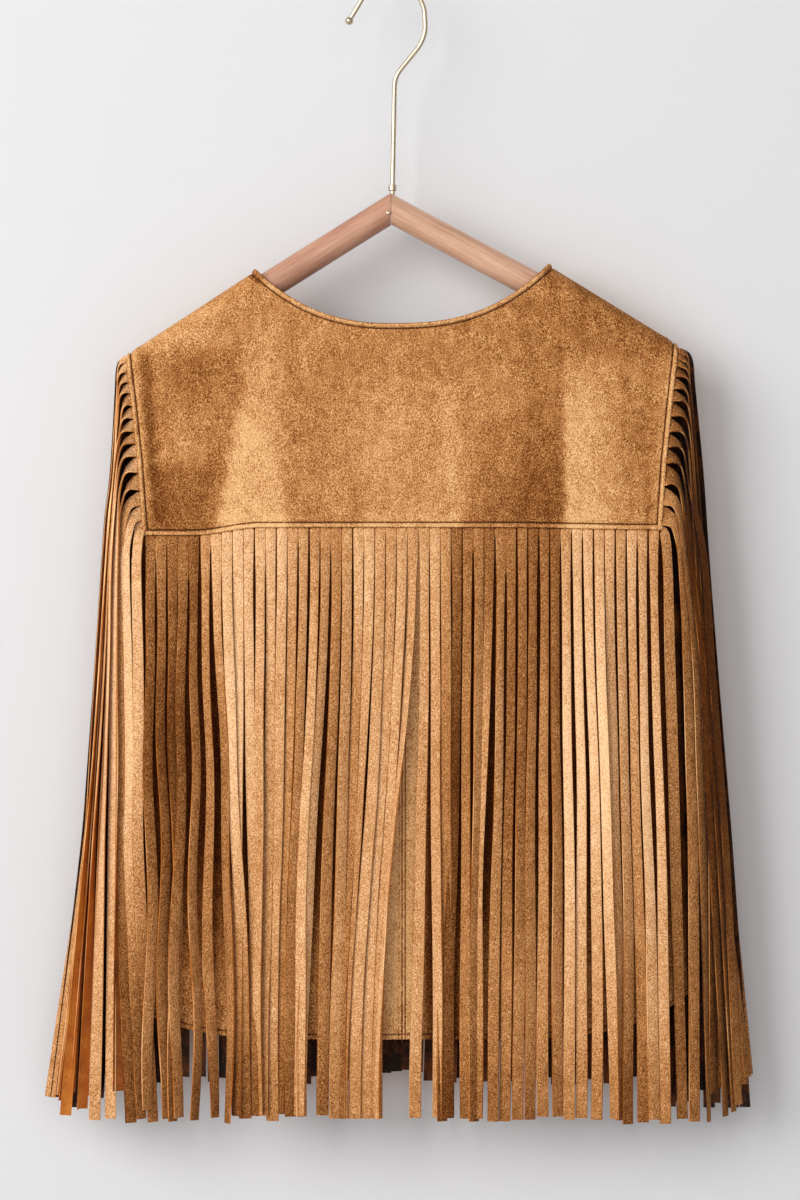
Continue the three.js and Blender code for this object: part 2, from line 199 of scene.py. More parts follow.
def slope_of(curve, x):
    return (curve(abs(x) + TINY) - curve(abs(x))) / TINY


def yoke_seam(x):
    dip, start, stop = LEFT_DIP if x < 0 else RIGHT_DIP
    return YOKE - dip * smooth((abs(x) - start) / (stop - start))


def hem(x):
    return HEM + HEM_RISE * (abs(x) / half_width(HEM)) ** HEM_POWER


def body_depth(x, z):
    """Distance of the body's outer face from the middle plane, clear of the folds at its edges."""
    below = smooth((ridge(x) - FOLD_HEIGHT - z) / DEPTH_OPENS)
    fluted = clamp01((YOKE - z) / (YOKE - HEM))
    return mix(FOLD, DEPTH, below) + fluted * look_up(FLUTES, x, eased=True)


def closed(z):
    """0 along the open armhole, 1 from the underarm down, where back and front meet."""
    return smooth((ARMHOLE_END - z) / (ARMHOLE_END - UNDERARM))


def hang(x, y, z):
    """Puts a point of the symmetrical vest where it hangs."""
    lifted = clamp01((z - YOKE) / (WIDTH[0][0] - YOKE))
    return Vector((x + MIDDLE, y, z + LEAN * x * lifted))


def fold_angle(x, z):
    return math.acos(1 - clamp01((ridge(x) - z) / FOLD_HEIGHT))


def body(side, x, z, out):
    """Point of the body's outer face at (x, z), moved `out` along the face's normal."""
    over = fold_angle(x, z)
    round_ = math.acos(1 - clamp01((half_width(z) - abs(x)) / SIDE_ROUND))
    shut = closed(z)
    depth = (body_depth(x, z) + out) * math.sin(over) * mix(1, math.sin(round_), shut)
    up = out / math.cos(SHOULDER_SLOPE) * math.cos(over)
    return hang(x + math.copysign(out * math.cos(round_) * shut, x), side * depth, z + up)


# ---------------------------------------------------------------- meshes

MERGED = 1e-6  # points nearer than this, in metres, become one
Y_AXIS = Vector((0, 1, 0))


def finish_mesh(mesh, angle=40):
    """Merges doubles, turns faces outwards and shades smooth, with sharp edges past `angle`."""
    made = bmesh.new()
    made.from_mesh(mesh)
    bmesh.ops.remove_doubles(made, verts=made.verts, dist=MERGED)
    bmesh.ops.recalc_face_normals(made, faces=made.faces)
    made.to_mesh(mesh)
    made.free()
    mesh.shade_smooth()
    mesh.set_sharp_from_angle(angle=math.radians(angle))
    return mesh


def placed(name, data):
    """Adds an object with this mesh, light or camera to the scene."""
    made = bpy.data.objects.new(name, data)
    bpy.context.scene.collection.objects.link(made)
    return made


def piece(name, mesh, materials=()):
    """Adds an object with this mesh, which rides on the body."""
    made = placed(name, mesh)
    for material in materials:
        mesh.materials.append(material)
    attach(made, "root")
    return made


def built(name, points, edges=(), faces=()):
    mesh = bpy.data.meshes.new(name)
    mesh.from_pydata(points, edges, faces)
    return mesh


def give(mesh, key, values):
    """Stores a number or a Vector for each point, for a material or a node tree to read."""
    if isinstance(values[0], Vector):
        flat = [c for value in values for c in value]
        mesh.attributes.new(key, "FLOAT_VECTOR", "POINT").data.foreach_set("vector", flat)
    else:
        mesh.attributes.new(key, "FLOAT", "POINT").data.foreach_set("value", values)


def chain_mesh(name, chains, columns):
    """Chains of edges for a node tree. Each spot has its point, then a value for each named column."""
    edges, start = [], 0
    for chain in chains:
        edges += [(k, k + 1) for k in range(start, start + len(chain) - 1)]
        start += len(chain)
    points, *values = zip(*(spot for chain in chains for spot in chain))
    mesh = built(name, points, edges)
    for key, rows in zip(columns, values):
        give(mesh, key, rows)
    return mesh


def wall(name, rows, columns, face, tone):
    """Closed wall of cloth over a grid. face(i, j, layer) gives its points, tone(i, j) its shade."""
    points, shades, faces, slots = [], [], [], []
    for layer in (0, 1):
        for i in range(rows + 1):
            for j in range(columns + 1):
                points.append(metres(face(i, j, layer)))
                shades.append(tone(i, j))
    count = (rows + 1) * (columns + 1)

    def at(i, j, layer):
        return layer * count + i * (columns + 1) + j

    def quad(slot, *corners):
        faces.append([at(*corner) for corner in corners])
        slots.append(slot)

    for i in range(rows):
        for j in range(columns):
            quad(0, (i, j, 0), (i + 1, j, 0), (i + 1, j + 1, 0), (i, j + 1, 0))
            quad(1, (i, j, 1), (i, j + 1, 1), (i + 1, j + 1, 1), (i + 1, j, 1))
    for i in range(rows):
        quad(0, (i, 0, 0), (i, 0, 1), (i + 1, 0, 1), (i + 1, 0, 0))
        quad(0, (i, columns, 0), (i + 1, columns, 0), (i + 1, columns, 1), (i, columns, 1))
    for j in range(columns):
        quad(0, (0, j, 0), (0, j + 1, 0), (0, j + 1, 1), (0, j, 1))
        quad(0, (rows, j, 0), (rows, j, 1), (rows, j + 1, 1), (rows, j + 1, 0))
    mesh = built(name, points, faces=faces)
    mesh.polygons.foreach_set("material_index", slots)
    give(mesh, "tone", shades)
    # painted shade: the backing inside the vest is darkened where shade falls in it
    give(mesh, "under", [-1.0] * len(shades))
    return piece(name, finish_mesh(mesh, angle=60), [SUEDE, BACKING])


def ring(middle, radius, first, second, around):
    """Points of a circle about `middle`, from the axis `first` towards the axis `second`."""
    turns = [2 * math.pi * k / around for k in range(around)]
    return [metres(middle + (first * math.cos(a) + second * math.sin(a)) * radius) for a in turns]


def ring_faces(rings, around, start=0, capped=True):
    """Faces between rings of points, the first at point `start`: capped, or else joined end to end."""
    faces = []
    for i in range(rings - 1 if capped else rings):
        here, there = start + i * around, start + (i + 1) % rings * around
        for k in range(around):
            b = (k + 1) % around
            faces.append((here + k, here + b, there + b, there + k))
    if capped:
        faces.append(list(range(start, start + around)))
        faces.append(list(range(start + (rings - 1) * around, start + rings * around)))
    return faces


# ---------------------------------------------------------------- nodes


def colour(code):
    """An sRGB hex value as linear RGBA."""
    parts = [int(code[i:i + 2], 16) / 255 for i in (1, 3, 5)]
    return [c / 12.92 if c <= 0.04045 else ((c + 0.055) / 1.055) ** 2.4 for c in parts] + [1]


def connect(tree, made, values):
    """Sets each input of a node to a value, or links it to the node or socket that feeds it."""
    for key, value in values.items():
        if isinstance(value, bpy.types.Node):
            value = value.outputs[0]
        if isinstance(value, bpy.types.NodeSocket):
            tree.links.new(value, made.inputs[key])
        else:
            made.inputs[key].default_value = value


def node(tree, kind, values=None, stops=(), **settings):
    """Adds a node with its settings and links. A colour ramp's stops are rows of place and hex value."""
    made = tree.nodes.new(kind)
    for key, value in settings.items():
        setattr(made, key, value)
    for _ in stops[2:]:
        made.color_ramp.elements.new(0.5)
    if stops:
        for element, (place, code) in zip(made.color_ramp.elements, stops):
            element.position = place
            element.color = colour(code)
    connect(tree, made, values or {})
    return made


# ---------------------------------------------------------------- materials

EVEN = (1, 1, 1)  # a grain that isn't stretched any way


def grained(name, grains, base, finish, relief, relief_mm, shade=(0.0, {}), turn=0.0):
    """A material built on patterns of noise that run from -0.5 to 0.5.

    grains: each pattern's size in mm, detail, roughness and stretch
    shade: where the shade starts, and the weight of each pattern or attribute that adds to it
    base: the stops that turn the shade to a colour, or one plain colour
    finish: the shader's plain values
    relief: the weight of each pattern in the bump, which is relief_mm high
    turn: degrees by which the grain is tipped in the XZ plane
    """
    material = bpy.data.materials.new(name)
    material.use_nodes = True
    tree = material.node_tree
    place = node(tree, "ShaderNodeTexCoord").outputs["Object"]
    if turn:
        place = node(tree, "ShaderNodeMapping", {"Vector": place, "Rotation": (0, math.radians(turn), 0)})
    parts = {}
    for key in ("tone", "under"):
        if key in shade[1]:
            parts[key] = node(tree, "ShaderNodeAttribute", attribute_name=key).outputs["Fac"]
    for key, (size, detail, rough, stretch) in grains.items():
        spread = node(tree, "ShaderNodeMapping", {"Vector": place, "Scale": stretch})
        texture = node(tree, "ShaderNodeTexNoise", {
            "Vector": spread, "Scale": 1 / (size * MM), "Detail": detail, "Roughness": rough})
        parts[key] = node(tree, "ShaderNodeMath", {0: texture, 1: 0.5}, name=key, operation="SUBTRACT")
    sums = []
    for value, weights in (shade, (0.0, relief)):
        for key, weight in weights.items():
            value = node(tree, "ShaderNodeMath", {0: parts[key], 1: weight, 2: value},
                         operation="MULTIPLY_ADD")
        sums.append(value)
    lit = colour(base) if isinstance(base, str) else node(tree, "ShaderNodeValToRGB", {"Fac": sums[0]}, base)
    bump = node(tree, "ShaderNodeBump", {"Height": sums[1], "Distance": relief_mm * MM, "Strength": 1.0})
    connect(tree, tree.nodes["Principled BSDF"], {"Base Color": lit, "Normal": bump, **finish})
    return material


def faux_suede(name, codes, grain, mottle):
    """Faux suede: a knit of microfibre, sanded to a short nap. It is quite matt, with a soft sheen from the
    fibres. The nap lies in patches 9 to 40 mm across, brushed up dark or down light. Its fibres are under
    0.05 mm thick and clump in tufts of about 0.3 mm; they are drawn 0.75 and 1.4 mm wide, or they wouldn't
    show."""
    return grained(
        name,
        {"fine": (0.75, 1, 0.5, EVEN), "tuft": (1.4, 2, 0.6, (1.2, 1, 0.8)),
         "patch": (9, 4, 0.62, (1.3, 1, 0.75)), "broad": (40, 3, 0.5, EVEN)},
        list(zip((0.0, 0.4, 0.7, 1.0), codes)),
        {"Roughness": 0.95, "Specular IOR Level": 0.04, "Sheen Weight": 0.12, "Sheen Roughness": 0.4,
         "Sheen Tint": colour("#FFD3A0")},
        relief={"fine": 0.7, "tuft": 1.0}, relief_mm=0.7,
        shade=(0.7, {"tone": 0.26, "fine": grain * 1.4, "tuft": grain * 0.7, "patch": mottle,
                     "broad": mottle * 0.4}))


def knit_backing(name, codes):
    """The back of the faux suede: a smooth backing, tightly knit and dyed orange brown, a little glossier
    than the nap. Its loops are 0.3 mm wide, and drawn 0.9 mm wide to show."""
    # The under attribute paints light and shade on the backing; its near-black first stop is for painted
    # shade.
    return grained(
        name,
        {"thread": (0.9, 1, 0.5, (1, 1, 0.3)), "patch": (14, 3, 0.5, EVEN)},
        list(zip((0.0, 0.5, 0.9), codes)),
        {"Roughness": 0.7, "Specular IOR Level": 0.3},
        relief={"thread": 1.0}, relief_mm=0.2,
        shade=(0.5, {"under": 0.4, "thread": 0.35, "patch": 0.5}))


def cut_edge(name, codes):
    """A knife cut through the suede: paler, with short loose fibres, and each strand's edge a little lighter
    or darker. The fibres are drawn 0.8 mm wide, or they wouldn't show."""
    # The tone it reads carries the strands' painted shade, so the edges of shaded strands are painted darker
    # too.
    return grained(
        name,
        {"fibre": (0.8, 2, 0.5, EVEN), "each": (3, 0, 0.5, (1, 1, 0.03))},
        list(zip((0.0, 0.45, 0.95), codes)),
        {"Roughness": 0.9, "Specular IOR Level": 0.02},
        relief={"fibre": 1.0}, relief_mm=0.4,
        shade=(0.52, {"fibre": 0.7, "tone": 0.3, "each": 1.2}))


def sewing_thread(name, code):
    """Spun polyester thread, two plies twisted every 0.5 mm, with a faint gloss."""
    return grained(name, {"twist": (0.5, 1, 0.5, EVEN)}, code, {"Roughness": 0.6},
                   relief={"twist": 1.0}, relief_mm=0.15)


def oiled_beech(name, turn, codes):
    """Turned and oiled beech: pinkish growth rings that run along the rod as streaks 2.2 mm wide, a finer
    grain 0.7 mm wide, short pores, and a soft gloss. Pores are 0.1 mm wide, and drawn 0.6 mm wide to show."""
    return grained(
        name,
        {"streak": (2.2, 3, 0.6, (0.05, 1, 1)), "grain": (0.7, 2, 0.5, (0.04, 1, 1)),
         "pore": (0.6, 0, 0.5, (0.12, 1, 1)), "cloud": (18, 2, 0.5, (0.4, 1, 1))},
        list(zip((0.05, 0.5, 0.95), codes)),
        {"Roughness": 0.42, "Coat Weight": 0.12, "Coat Roughness": 0.3},
        relief={"grain": 1.0, "pore": 0.5}, relief_mm=0.15,
        shade=(0.5, {"streak": 0.9, "grain": 0.5, "cloud": 0.5}), turn=turn)


def satin_nickel(name, code):
    """Drawn steel wire, nickel plated and satin polished: a warm grey metal with fine lines along it, which
    vary its gloss. The lines are 0.05 mm apart, and drawn 0.5 mm wide to show."""
    material = grained(name, {"drawn": (0.5, 2, 0.5, (1, 1, 0.08))}, code, {"Metallic": 1.0},
                       relief={"drawn": 1.0}, relief_mm=0.03)
    tree = material.node_tree
    polish = node(tree, "ShaderNodeMapRange", {
        "Value": tree.nodes["drawn"], "From Min": -0.3, "From Max": 0.3, "To Min": 0.2, "To Max": 0.34})
    connect(tree, tree.nodes["Principled BSDF"], {"Roughness": polish})
    return material


def rolled_paint(name, code):
    """Matt emulsion paint, rolled on: pale and even, with no gloss."""
    material = bpy.data.materials.new(name)
    material.use_nodes = True
    tree = material.node_tree
    connect(tree, tree.nodes["Principled BSDF"], {"Base Color": colour(code), "Roughness": 0.9})
    return material


# The first, near-black stop of each nap serves painted shade: under the fringe, in grooves and on strands
# turned from the light.
SUEDE = faux_suede("faux_suede_nap", ("#361305", "#6F3D17", "#BC8049", "#F2C38A"), grain=0.84, mottle=0.4)
FRINGE_NAP = faux_suede(
    "faux_suede_strand_nap", ("#361305", "#6E3E18", "#C28751", "#FBCFA0"), grain=0.64, mottle=0.24)
BACKING = knit_backing("faux_suede_backing", ("#1C0A03", "#B05E1A", "#E0963C"))
CUT = cut_edge("faux_suede_cut_edge", ("#421C08", "#B26E30", "#FFD49A"))
THREAD = sewing_thread("polyester_sewing_thread", "#4A2A12")
NICKEL = satin_nickel("satin_nickel_wire", "#C9BBA4")

# ---------------------------------------------------------------- yokes

RIDGE_WIDTH = 3.4      # of the roll of a turned edge
RIDGE_HEIGHT = 1.6
RIDGE_START = 0.12     # share of its half round at which the roll starts
RIDGE_FULLNESS = 0.55  # under 1 makes the roll fuller than a half round
STITCH_AT = 3.8
GROOVE_HALF = 0.5
GROOVE_DEPTH = 0.8
ALLOWANCE = 8.5        # width of the cloth turned in behind an edge
ALLOWANCE_STEP = 0.35
EDGE_STEPS = [0, 0.15, 0.5, 1.0, 1.7, 2.4, 2.8, 3.1, 3.35, 3.6, 3.8, 4.05, 4.35, 4.8, 5.6]


def bell(at, middle, half):
    return math.exp(-((at - middle) / half) ** 2)


def turned_edge(inside):
    """Height of a turned and topstitched edge, at a distance inside it: a rounded roll, then a groove."""
    if inside < RIDGE_WIDTH:
        round_ = math.sin(math.pi * mix(RIDGE_START, 1, inside / RIDGE_WIDTH))
        return RIDGE_HEIGHT * max(0.0, round_) ** RIDGE_FULLNESS
    return -GROOVE_DEPTH * bell(inside, STITCH_AT, GROOVE_HALF)


def edge_rub_and_painted_shade(inside):
    """Shade along a turned edge: pale where the roll is rubbed, with painted shade at the roll's outer edge
    and in the stitch groove.
    """
    if inside < RIDGE_WIDTH:
        return 0.6 * math.sin(math.pi * max(0.0, inside) / RIDGE_WIDTH) - 0.9 * (1 - smooth(inside / 0.6))
    # painted shade in the stitch groove
    return -1.5 * bell(inside, STITCH_AT, GROOVE_HALF)


def allowance(inside):
    """Height of the step where the cloth turned in behind an armhole edge ends."""
    return ALLOWANCE_STEP * (1 - smooth((inside - ALLOWANCE) / 2.4)) if inside > STITCH_AT else 0.0


def allowance_band_and_painted_shade(inside):
    """Shade over the turned-in cloth: lighter over it, with a line of painted shade at the step where it
    ends.
    """
    over = smooth((inside - STITCH_AT - 0.6) / 1.2) * (1 - smooth((inside - ALLOWANCE + 2) / 2.5))
    return 0.22 * over - 0.42 * bell(inside, ALLOWANCE + 1.2, 1.3)


def neck_inside(neck, x, z):
    """Distance inside the neck edge, which runs on straight past the top of the shoulder."""
    over = max(0.0, abs(x) - NECK_HALF)
    on = min(abs(x), NECK_HALF - 2 * TINY)
    slope = slope_of(neck, on)
    return (neck(on) + slope * over - z) / math.hypot(1, slope)


def edges_near(side, neck, x, z):
    """How far the spot is inside each edge of the yoke: the armhole, the seam, the neck and the front."""
    near = [half_width(z) - abs(x), z - yoke_seam(x)]
    if abs(x) < NECK_HALF + NECK_REACH:
        near.append(neck_inside(neck, x, z))
    if side == FRONT:
        near.append(abs(x) - FRONT_GAP)
    return near


def strongest(values):
    """The highest value where any rises, otherwise the lowest."""
    return max(values) if max(values) > 0.02 else min(values)


def brushed(strokes, x, z):
    """Shade of the nap where a hand stroked it, or painted light and shade where a stroke stands for that. A
    stroke lies between two heights, with how softly it starts and stops, and between a left and a right edge:
    x at its top, x at its foot, softness."""
    shade = 0.0
    waver = 4 * noise.noise(Vector((x / 12, z / 12, 0))) + 2 * noise.noise(Vector((x / 4, z / 4, 9)))
    for top, low, starts, stops, left, right, strength in strokes:
        down = clamp01((top - z) / (top - low))
        inside = smooth((x - mix(left[0], left[1], down) + waver) / left[2] + 0.5)
        inside *= smooth((mix(right[0], right[1], down) - x + waver) / right[2] + 0.5)
        inside *= smooth((top - z + waver) / starts + 0.5) * smooth((z - low + waver) / stops + 0.5)
        shade += strength * inside
    return max(-1.0, min(1.0, shade))


# Most strokes are patches of the nap; a few are painted light and shade, as marked
BACK_NAP_AND_PAINTED_LIGHT = [  # top, foot, softness of both, left edge, right edge, shade
    (-262, -396, 24, 2, (-196, -188, 20), (-112, -134, 6), -0.32),
    # painted highlight and painted shade on the two flanks of the crease at the left armhole
    (-258, -390, 16, 12, (-196, -184, 3), (-190, -179, 3), 0.4),
    (-262, -390, 16, 12, (-189, -178, 3), (-182, -170, 5), -0.55),
    (-255, -292, 18, 18, (-166, -166, 20), (-120, -118, 12), -0.22),
    (-308, -346, 16, 16, (-182, -180, 12), (-142, -140, 14), 0.3),
    (-348, -396, 34, 2, (-184, -184, 8), (-137, -139, 8), -0.35),
    (-228, -262, 22, 14, (-196, -200, 14), (-128, -150, 20), 0.35),
    (-240, -396, 30, 2, (-104, -134, 8), (-92, -84, 16), 0.3),
    (-306, -396, 40, 2, (-117, -134, 7), (-96, -84, 18), 0.4),
    (-380, -391, 5, 2, (-133, -133, 4), (-84, -84, 8), 0.35),
    (-262, -396, 20, 2, (-82, -80, 12), (-29, -29, 6), -0.12),
    (-300, -396, 30, 2, (-27, -27, 8), (44, 44, 14), 0.16),
    (-296, -362, 16, 20, (27, 28, 5), (40, 39, 7), 0.25),
    (-382, -391, 4, 2, (-30, -30, 5), (44, 44, 6), 0.35),
    (-310, -396, 46, 2, (58, 46, 18), (117, 117, 4), -0.3),
    (-356, -396, 26, 2, (44, 44, 14), (117, 117, 4), -0.22),
    (-222, -396, 30, 2, (80, 84, 20), (117, 117, 5), -0.3),
    (-262, -396, 50, 2, (117, 117, 4), (146, 150, 34), 0.36),
    (-300, -396, 40, 2, (117, 117, 4), (136, 140, 26), 0.22),
    (-382, -391, 4, 2, (118, 118, 4), (176, 176, 8), 0.2),
    (-270, -396, 30, 2, (160, 158, 10), (182, 180, 6), -0.26),
    (-212, -272, 10, 22, (122, 118, 20), (200, 200, 10), -0.6),
    # painted shade in the notch at the right shoulder point
    (-200, -222, 2, 6, (100, 100, 5), (118, 118, 10), -0.4),
    (-238, -284, 16, 12, (-70, -62, 16), (70, 60, 16), -0.12),
    (-242, -253, 5, 5, (38, 38, 5), (48, 48, 5), -0.35),
    (-382, -388, 2, 2, (-68, -68, 2.5), (-64.5, -64.5, 2.5), -0.8),
    (-380, -384, 2, 2, (-114, -114, 2), (-111, -111, 2), -0.6),
    # painted shade in the notch at the left shoulder point
    (-196, -211, 2, 3, (-110, -110, 3), (-101, -101, 3), -0.9),
]
FRONT_STROKES = [
    (-262, -396, 24, 2, (-190, -184, 16), (-118, -126, 8), -0.3),
    (-290, -396, 30, 2, (-112, -118, 10), (-70, -64, 20), 0.35),
    (-330, -396, 24, 2, (-58, -52, 14), (-22, -26, 12), -0.25),
    (-340, -396, 24, 2, (26, 22, 14), (64, 60, 14), 0.3),
    (-280, -396, 30, 2, (92, 86, 14), (128, 124, 6), -0.3),
    (-260, -396, 26, 2, (130, 126, 6), (168, 172, 22), 0.25),
]
YOKE_CREASES = [  # from x, z to x, z, half width, height
    (-60, -300, -150, -340, 14, 0.5),
    (120, -290, 165, -380, 12, 0.5),
    (-191, -258, -180, -386, 4.5, 1.0),
    (-185, -258, -173.5, -386, 4, -1.2),
    (40, -262, 95, -250, 10, 0.4),
]


def slack(x, z):
    """Soft swells of the cloth between its seams."""
    height = 0.0
    for x0, z0, x1, z1, half, rise in YOKE_CREASES:
        length = math.hypot(x1 - x0, z1 - z0)
        along = ((x - x0) * (x1 - x0) + (z - z0) * (z1 - z0)) / length
        aside = ((x - x0) * (z1 - z0) - (z - z0) * (x1 - x0)) / length
        ends = smooth(clamp01(along / length * 3)) * smooth(clamp01((1 - along / length) * 3))
        height += rise * bell(aside, 0, half) * ends
    return height


def yoke_columns():
    """Places across one half of a yoke, from its middle to its armhole, close together at the edges."""
    inner = [x for x in evenly(0, TIP - EDGE_STEPS[-1], 66) if abs(x - NECK_HALF) > 2.4]
    about_neck = [NECK_HALF + d for d in (-2, -1, 0, 0.7, 1.5, 2.3, 3.1, 3.9, 4.8)]
    edge = [TIP - e for e in EDGE_STEPS]
    return sorted(set(inner + about_neck + edge))


def yoke_grid(across, neck):
    """Rows of (x, z) for one column: along the edge at the top, over the fold, and down to the seam."""
    in_neck = abs(across) < NECK_HALF
    top = neck(across) if in_neck else ridge(across)
    scale = math.hypot(1, slope_of(neck, across)) if in_neck else 1
    below_fold = in_neck and ridge(across) - top > FOLD_HEIGHT
    first = 0 if below_fold else FOLD_HEIGHT * (1 - math.cos(math.asin(SEAM / 2 / FOLD)))
    seam = yoke_seam(across * half_width(YOKE) / TIP) + SEAM / 2
    heights = [top - max(e * scale, first if e == 0 else 0) for e in EDGE_STEPS]
    heights += [top - FOLD_HEIGHT * share * scale for share in (0.5, 0.6, 0.7, 0.8, 0.9, 1.0)]
    low = seam + EDGE_STEPS[-1]
    heights += [mix(heights[-1], low, k / 44) for k in range(1, 44)]
    heights += [seam + e for e in reversed(EDGE_STEPS)]
    return [(across * half_width(z) / TIP, z) for z in heights]


def yoke(name, side, across, neck, nodes, strokes):
    """One yoke, from its neck or the shoulder's fold down to its seam."""
    grid = [yoke_grid(x, neck) for x in across]

    def face(i, j, layer):
        x, z = grid[j][i]
        if layer:
            return body(side, x, z, -CLOTH)
        relief = strongest([turned_edge(inside) for inside in edges_near(side, neck, x, z)])
        return body(side, x, z, relief + allowance(half_width(z) - abs(x)) + slack(x, z))

    def tone(i, j):
        x, z = grid[j][i]
        edges = strongest([edge_rub_and_painted_shade(inside) for inside in edges_near(side, neck, x, z)])
        waver = 0.8 * noise.noise(Vector((x, z / 9, 2)))
        return brushed(strokes, x, z) + edges + allowance_band_and_painted_shade(half_width(z) - abs(x) + waver)

    made = wall(name, len(grid[0]) - 1, len(across) - 1, face, tone)
    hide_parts(*nodes)
    return made


HALF_COLUMNS = yoke_columns()
WHOLE_COLUMNS = [-x for x in reversed(HALF_COLUMNS) if x > 0] + HALF_COLUMNS
FRONT_COLUMNS = [FRONT_GAP + e for e in EDGE_STEPS]
FRONT_COLUMNS += [x for x in HALF_COLUMNS if x > FRONT_COLUMNS[-1] + 1]
BACK_NODES = ["back_yoke", "back_yoke_neck_edge", "back_yoke_seam_edge",
              "back_yoke_armhole_edge_left", "back_yoke_armhole_edge_right"]
yoke_back = yoke("yoke_back", BACK, WHOLE_COLUMNS, back_neck, BACK_NODES, BACK_NAP_AND_PAINTED_LIGHT)

for hand, sign in HANDS:
    front_nodes = [f"front_yoke_{hand}{part}" for part in ("", "_neck_edge", "_seam_edge", "_armhole_edge")]
    front_across = sorted(sign * x for x in FRONT_COLUMNS)
    made = yoke(f"yoke_front_{hand}", FRONT, front_across, front_neck, front_nodes, FRONT_STROKES)

# ---------------------------------------------------------------- lower panels

HEM_STITCH = 3.6    # from the hem, and from a front edge, to the stitches
SEAM_GROOVE = 2.2   # from the middle seam to the line that the stitches press beside it
STEPS_IN = [0, 0.3, 0.7, 1.1, 1.5, 1.9, 2.2, 2.5, 2.9, 3.3, 3.6, 4.0, 4.6]  # columns beside the middle
STEPS_UP = [0, 0.4, 0.9, 1.5, 2.1, 2.7, 3.2, 3.6, 4.0, 4.6, 5.4]            # rows above the hem
STEPS_ROUND = [1 - math.cos(math.radians(a)) for a in (75, 62, 50, 36, 22, 10)]
STEPS_ROUND.append(1 - math.cos(math.asin(SEAM / 2 / DEPTH)))
ROWS_FLAT = 60
COLUMNS_FLAT = 40


def panel_relief(side, x, z, edge):
    """Hem roll and topstitch groove, and the roll beside the middle seam or the front edge."""
    up = z - hem(x)
    inside = abs(x) - edge
    height = 0.6 * bell(up, 1.4, 1.2) - 0.55 * bell(up, HEM_STITCH, 0.5)
    if side == BACK:
        return height + 0.4 * bell(inside, 1.1, 0.7) - 0.45 * bell(inside, SEAM_GROOVE, 0.45)
    return height + 0.5 * bell(inside, 1.4, 1.2) - 0.4 * bell(inside, HEM_STITCH, 0.6)


def panel_shade(side, sign, x, z, edge):
    """Shade of the nap: painted shade under the fringe, painted light between its two halves, and painted
    shade along the stitches and the middle seam.
    """
    nap = -0.3
    # painted shade under the back fringe, and painted light where its two halves part
    if side == BACK:
        nap = mix(-2.4, -0.5, smooth((-600 - z) / 130) * smooth((abs(x) - 25) / 30))
        nap = mix(0.55, nap, smooth((abs(x - 1) - 13) / 8))
    inside = abs(x) - edge
    sewn = SEAM_GROOVE if side == BACK else HEM_STITCH
    # painted shade in the stitch grooves, and on the back in the middle seam's line
    lines = 1.2 * bell(inside, sewn, 0.45) + 1.2 * bell(z - hem(x), HEM_STITCH, 0.5)
    if side == BACK:
        lines *= 1 if sign == RIGHT or z < hem(x) + 5 else 0.3
        lines += 1.5 * bell(inside, 0, 0.4)
    return nap - lines + 0.1 * noise.noise(Vector((x / 40, side * 7, z / 90)))


def lower_panel(name, side, sign, edge, node_name):
    """One lower panel, from its inner edge round to the side. Its grid is closest along the stitches."""
    def across(j, z):
        if j < len(STEPS_IN):
            return edge + STEPS_IN[j]
        flat = j - len(STEPS_IN)
        if flat < COLUMNS_FLAT:
            return mix(edge + STEPS_IN[-1], half_width(z) - SIDE_ROUND, (flat + 1) / COLUMNS_FLAT)
        return half_width(z) - SIDE_ROUND * STEPS_ROUND[flat - COLUMNS_FLAT]

    def at(i, j):
        top = yoke_seam(sign * across(j, YOKE)) - SEAM / 2
        low = hem(across(j, HEM))
        z = mix(top, low + STEPS_UP[-1], i / ROWS_FLAT)
        if i > ROWS_FLAT:
            z = low + STEPS_UP[ROWS_FLAT - i - 1]
        return sign * across(j, z), z

    def face(i, j, layer):
        x, z = at(i, j)
        return body(side, x, z, -CLOTH if layer else panel_relief(side, x, z, edge))

    def tone(i, j):
        return panel_shade(side, sign, *at(i, j), edge)

    columns = len(STEPS_IN) - 1 + COLUMNS_FLAT + len(STEPS_ROUND)
    made = wall(name, ROWS_FLAT + len(STEPS_UP) - 1, columns, face, tone)
    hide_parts(node_name)
    return made


for hand, sign in HANDS:
    made = lower_panel(f"panel_back_{hand}", BACK, sign, SEAM / 2, f"back_{hand}")
    made = lower_panel(f"panel_front_{hand}", FRONT, sign, FRONT_GAP, f"front_{hand}")

# ---------------------------------------------------------------- strands

CUT_SLANT = 0.07  # share by which a strand's nap is narrower than its back, as the knife leans
NAP_FROM = 0.75   # how far forward in the section the nap starts, and the cut edge ends
CROWN_POWER = 4.0


def new_tree(name, sockets, result):
    """A Geometry Nodes tree with named inputs, given as name and kind, and one result."""
    tree = bpy.data.node_groups.new(name, "GeometryNodeTree")
    for socket, kind in sockets:
        tree.interface.new_socket(socket, in_out="INPUT", socket_type=f"NodeSocket{kind}")
    tree.interface.new_socket(result, in_out="OUTPUT", socket_type="NodeSocketGeometry")
    return tree, node(tree, "NodeGroupInput").outputs


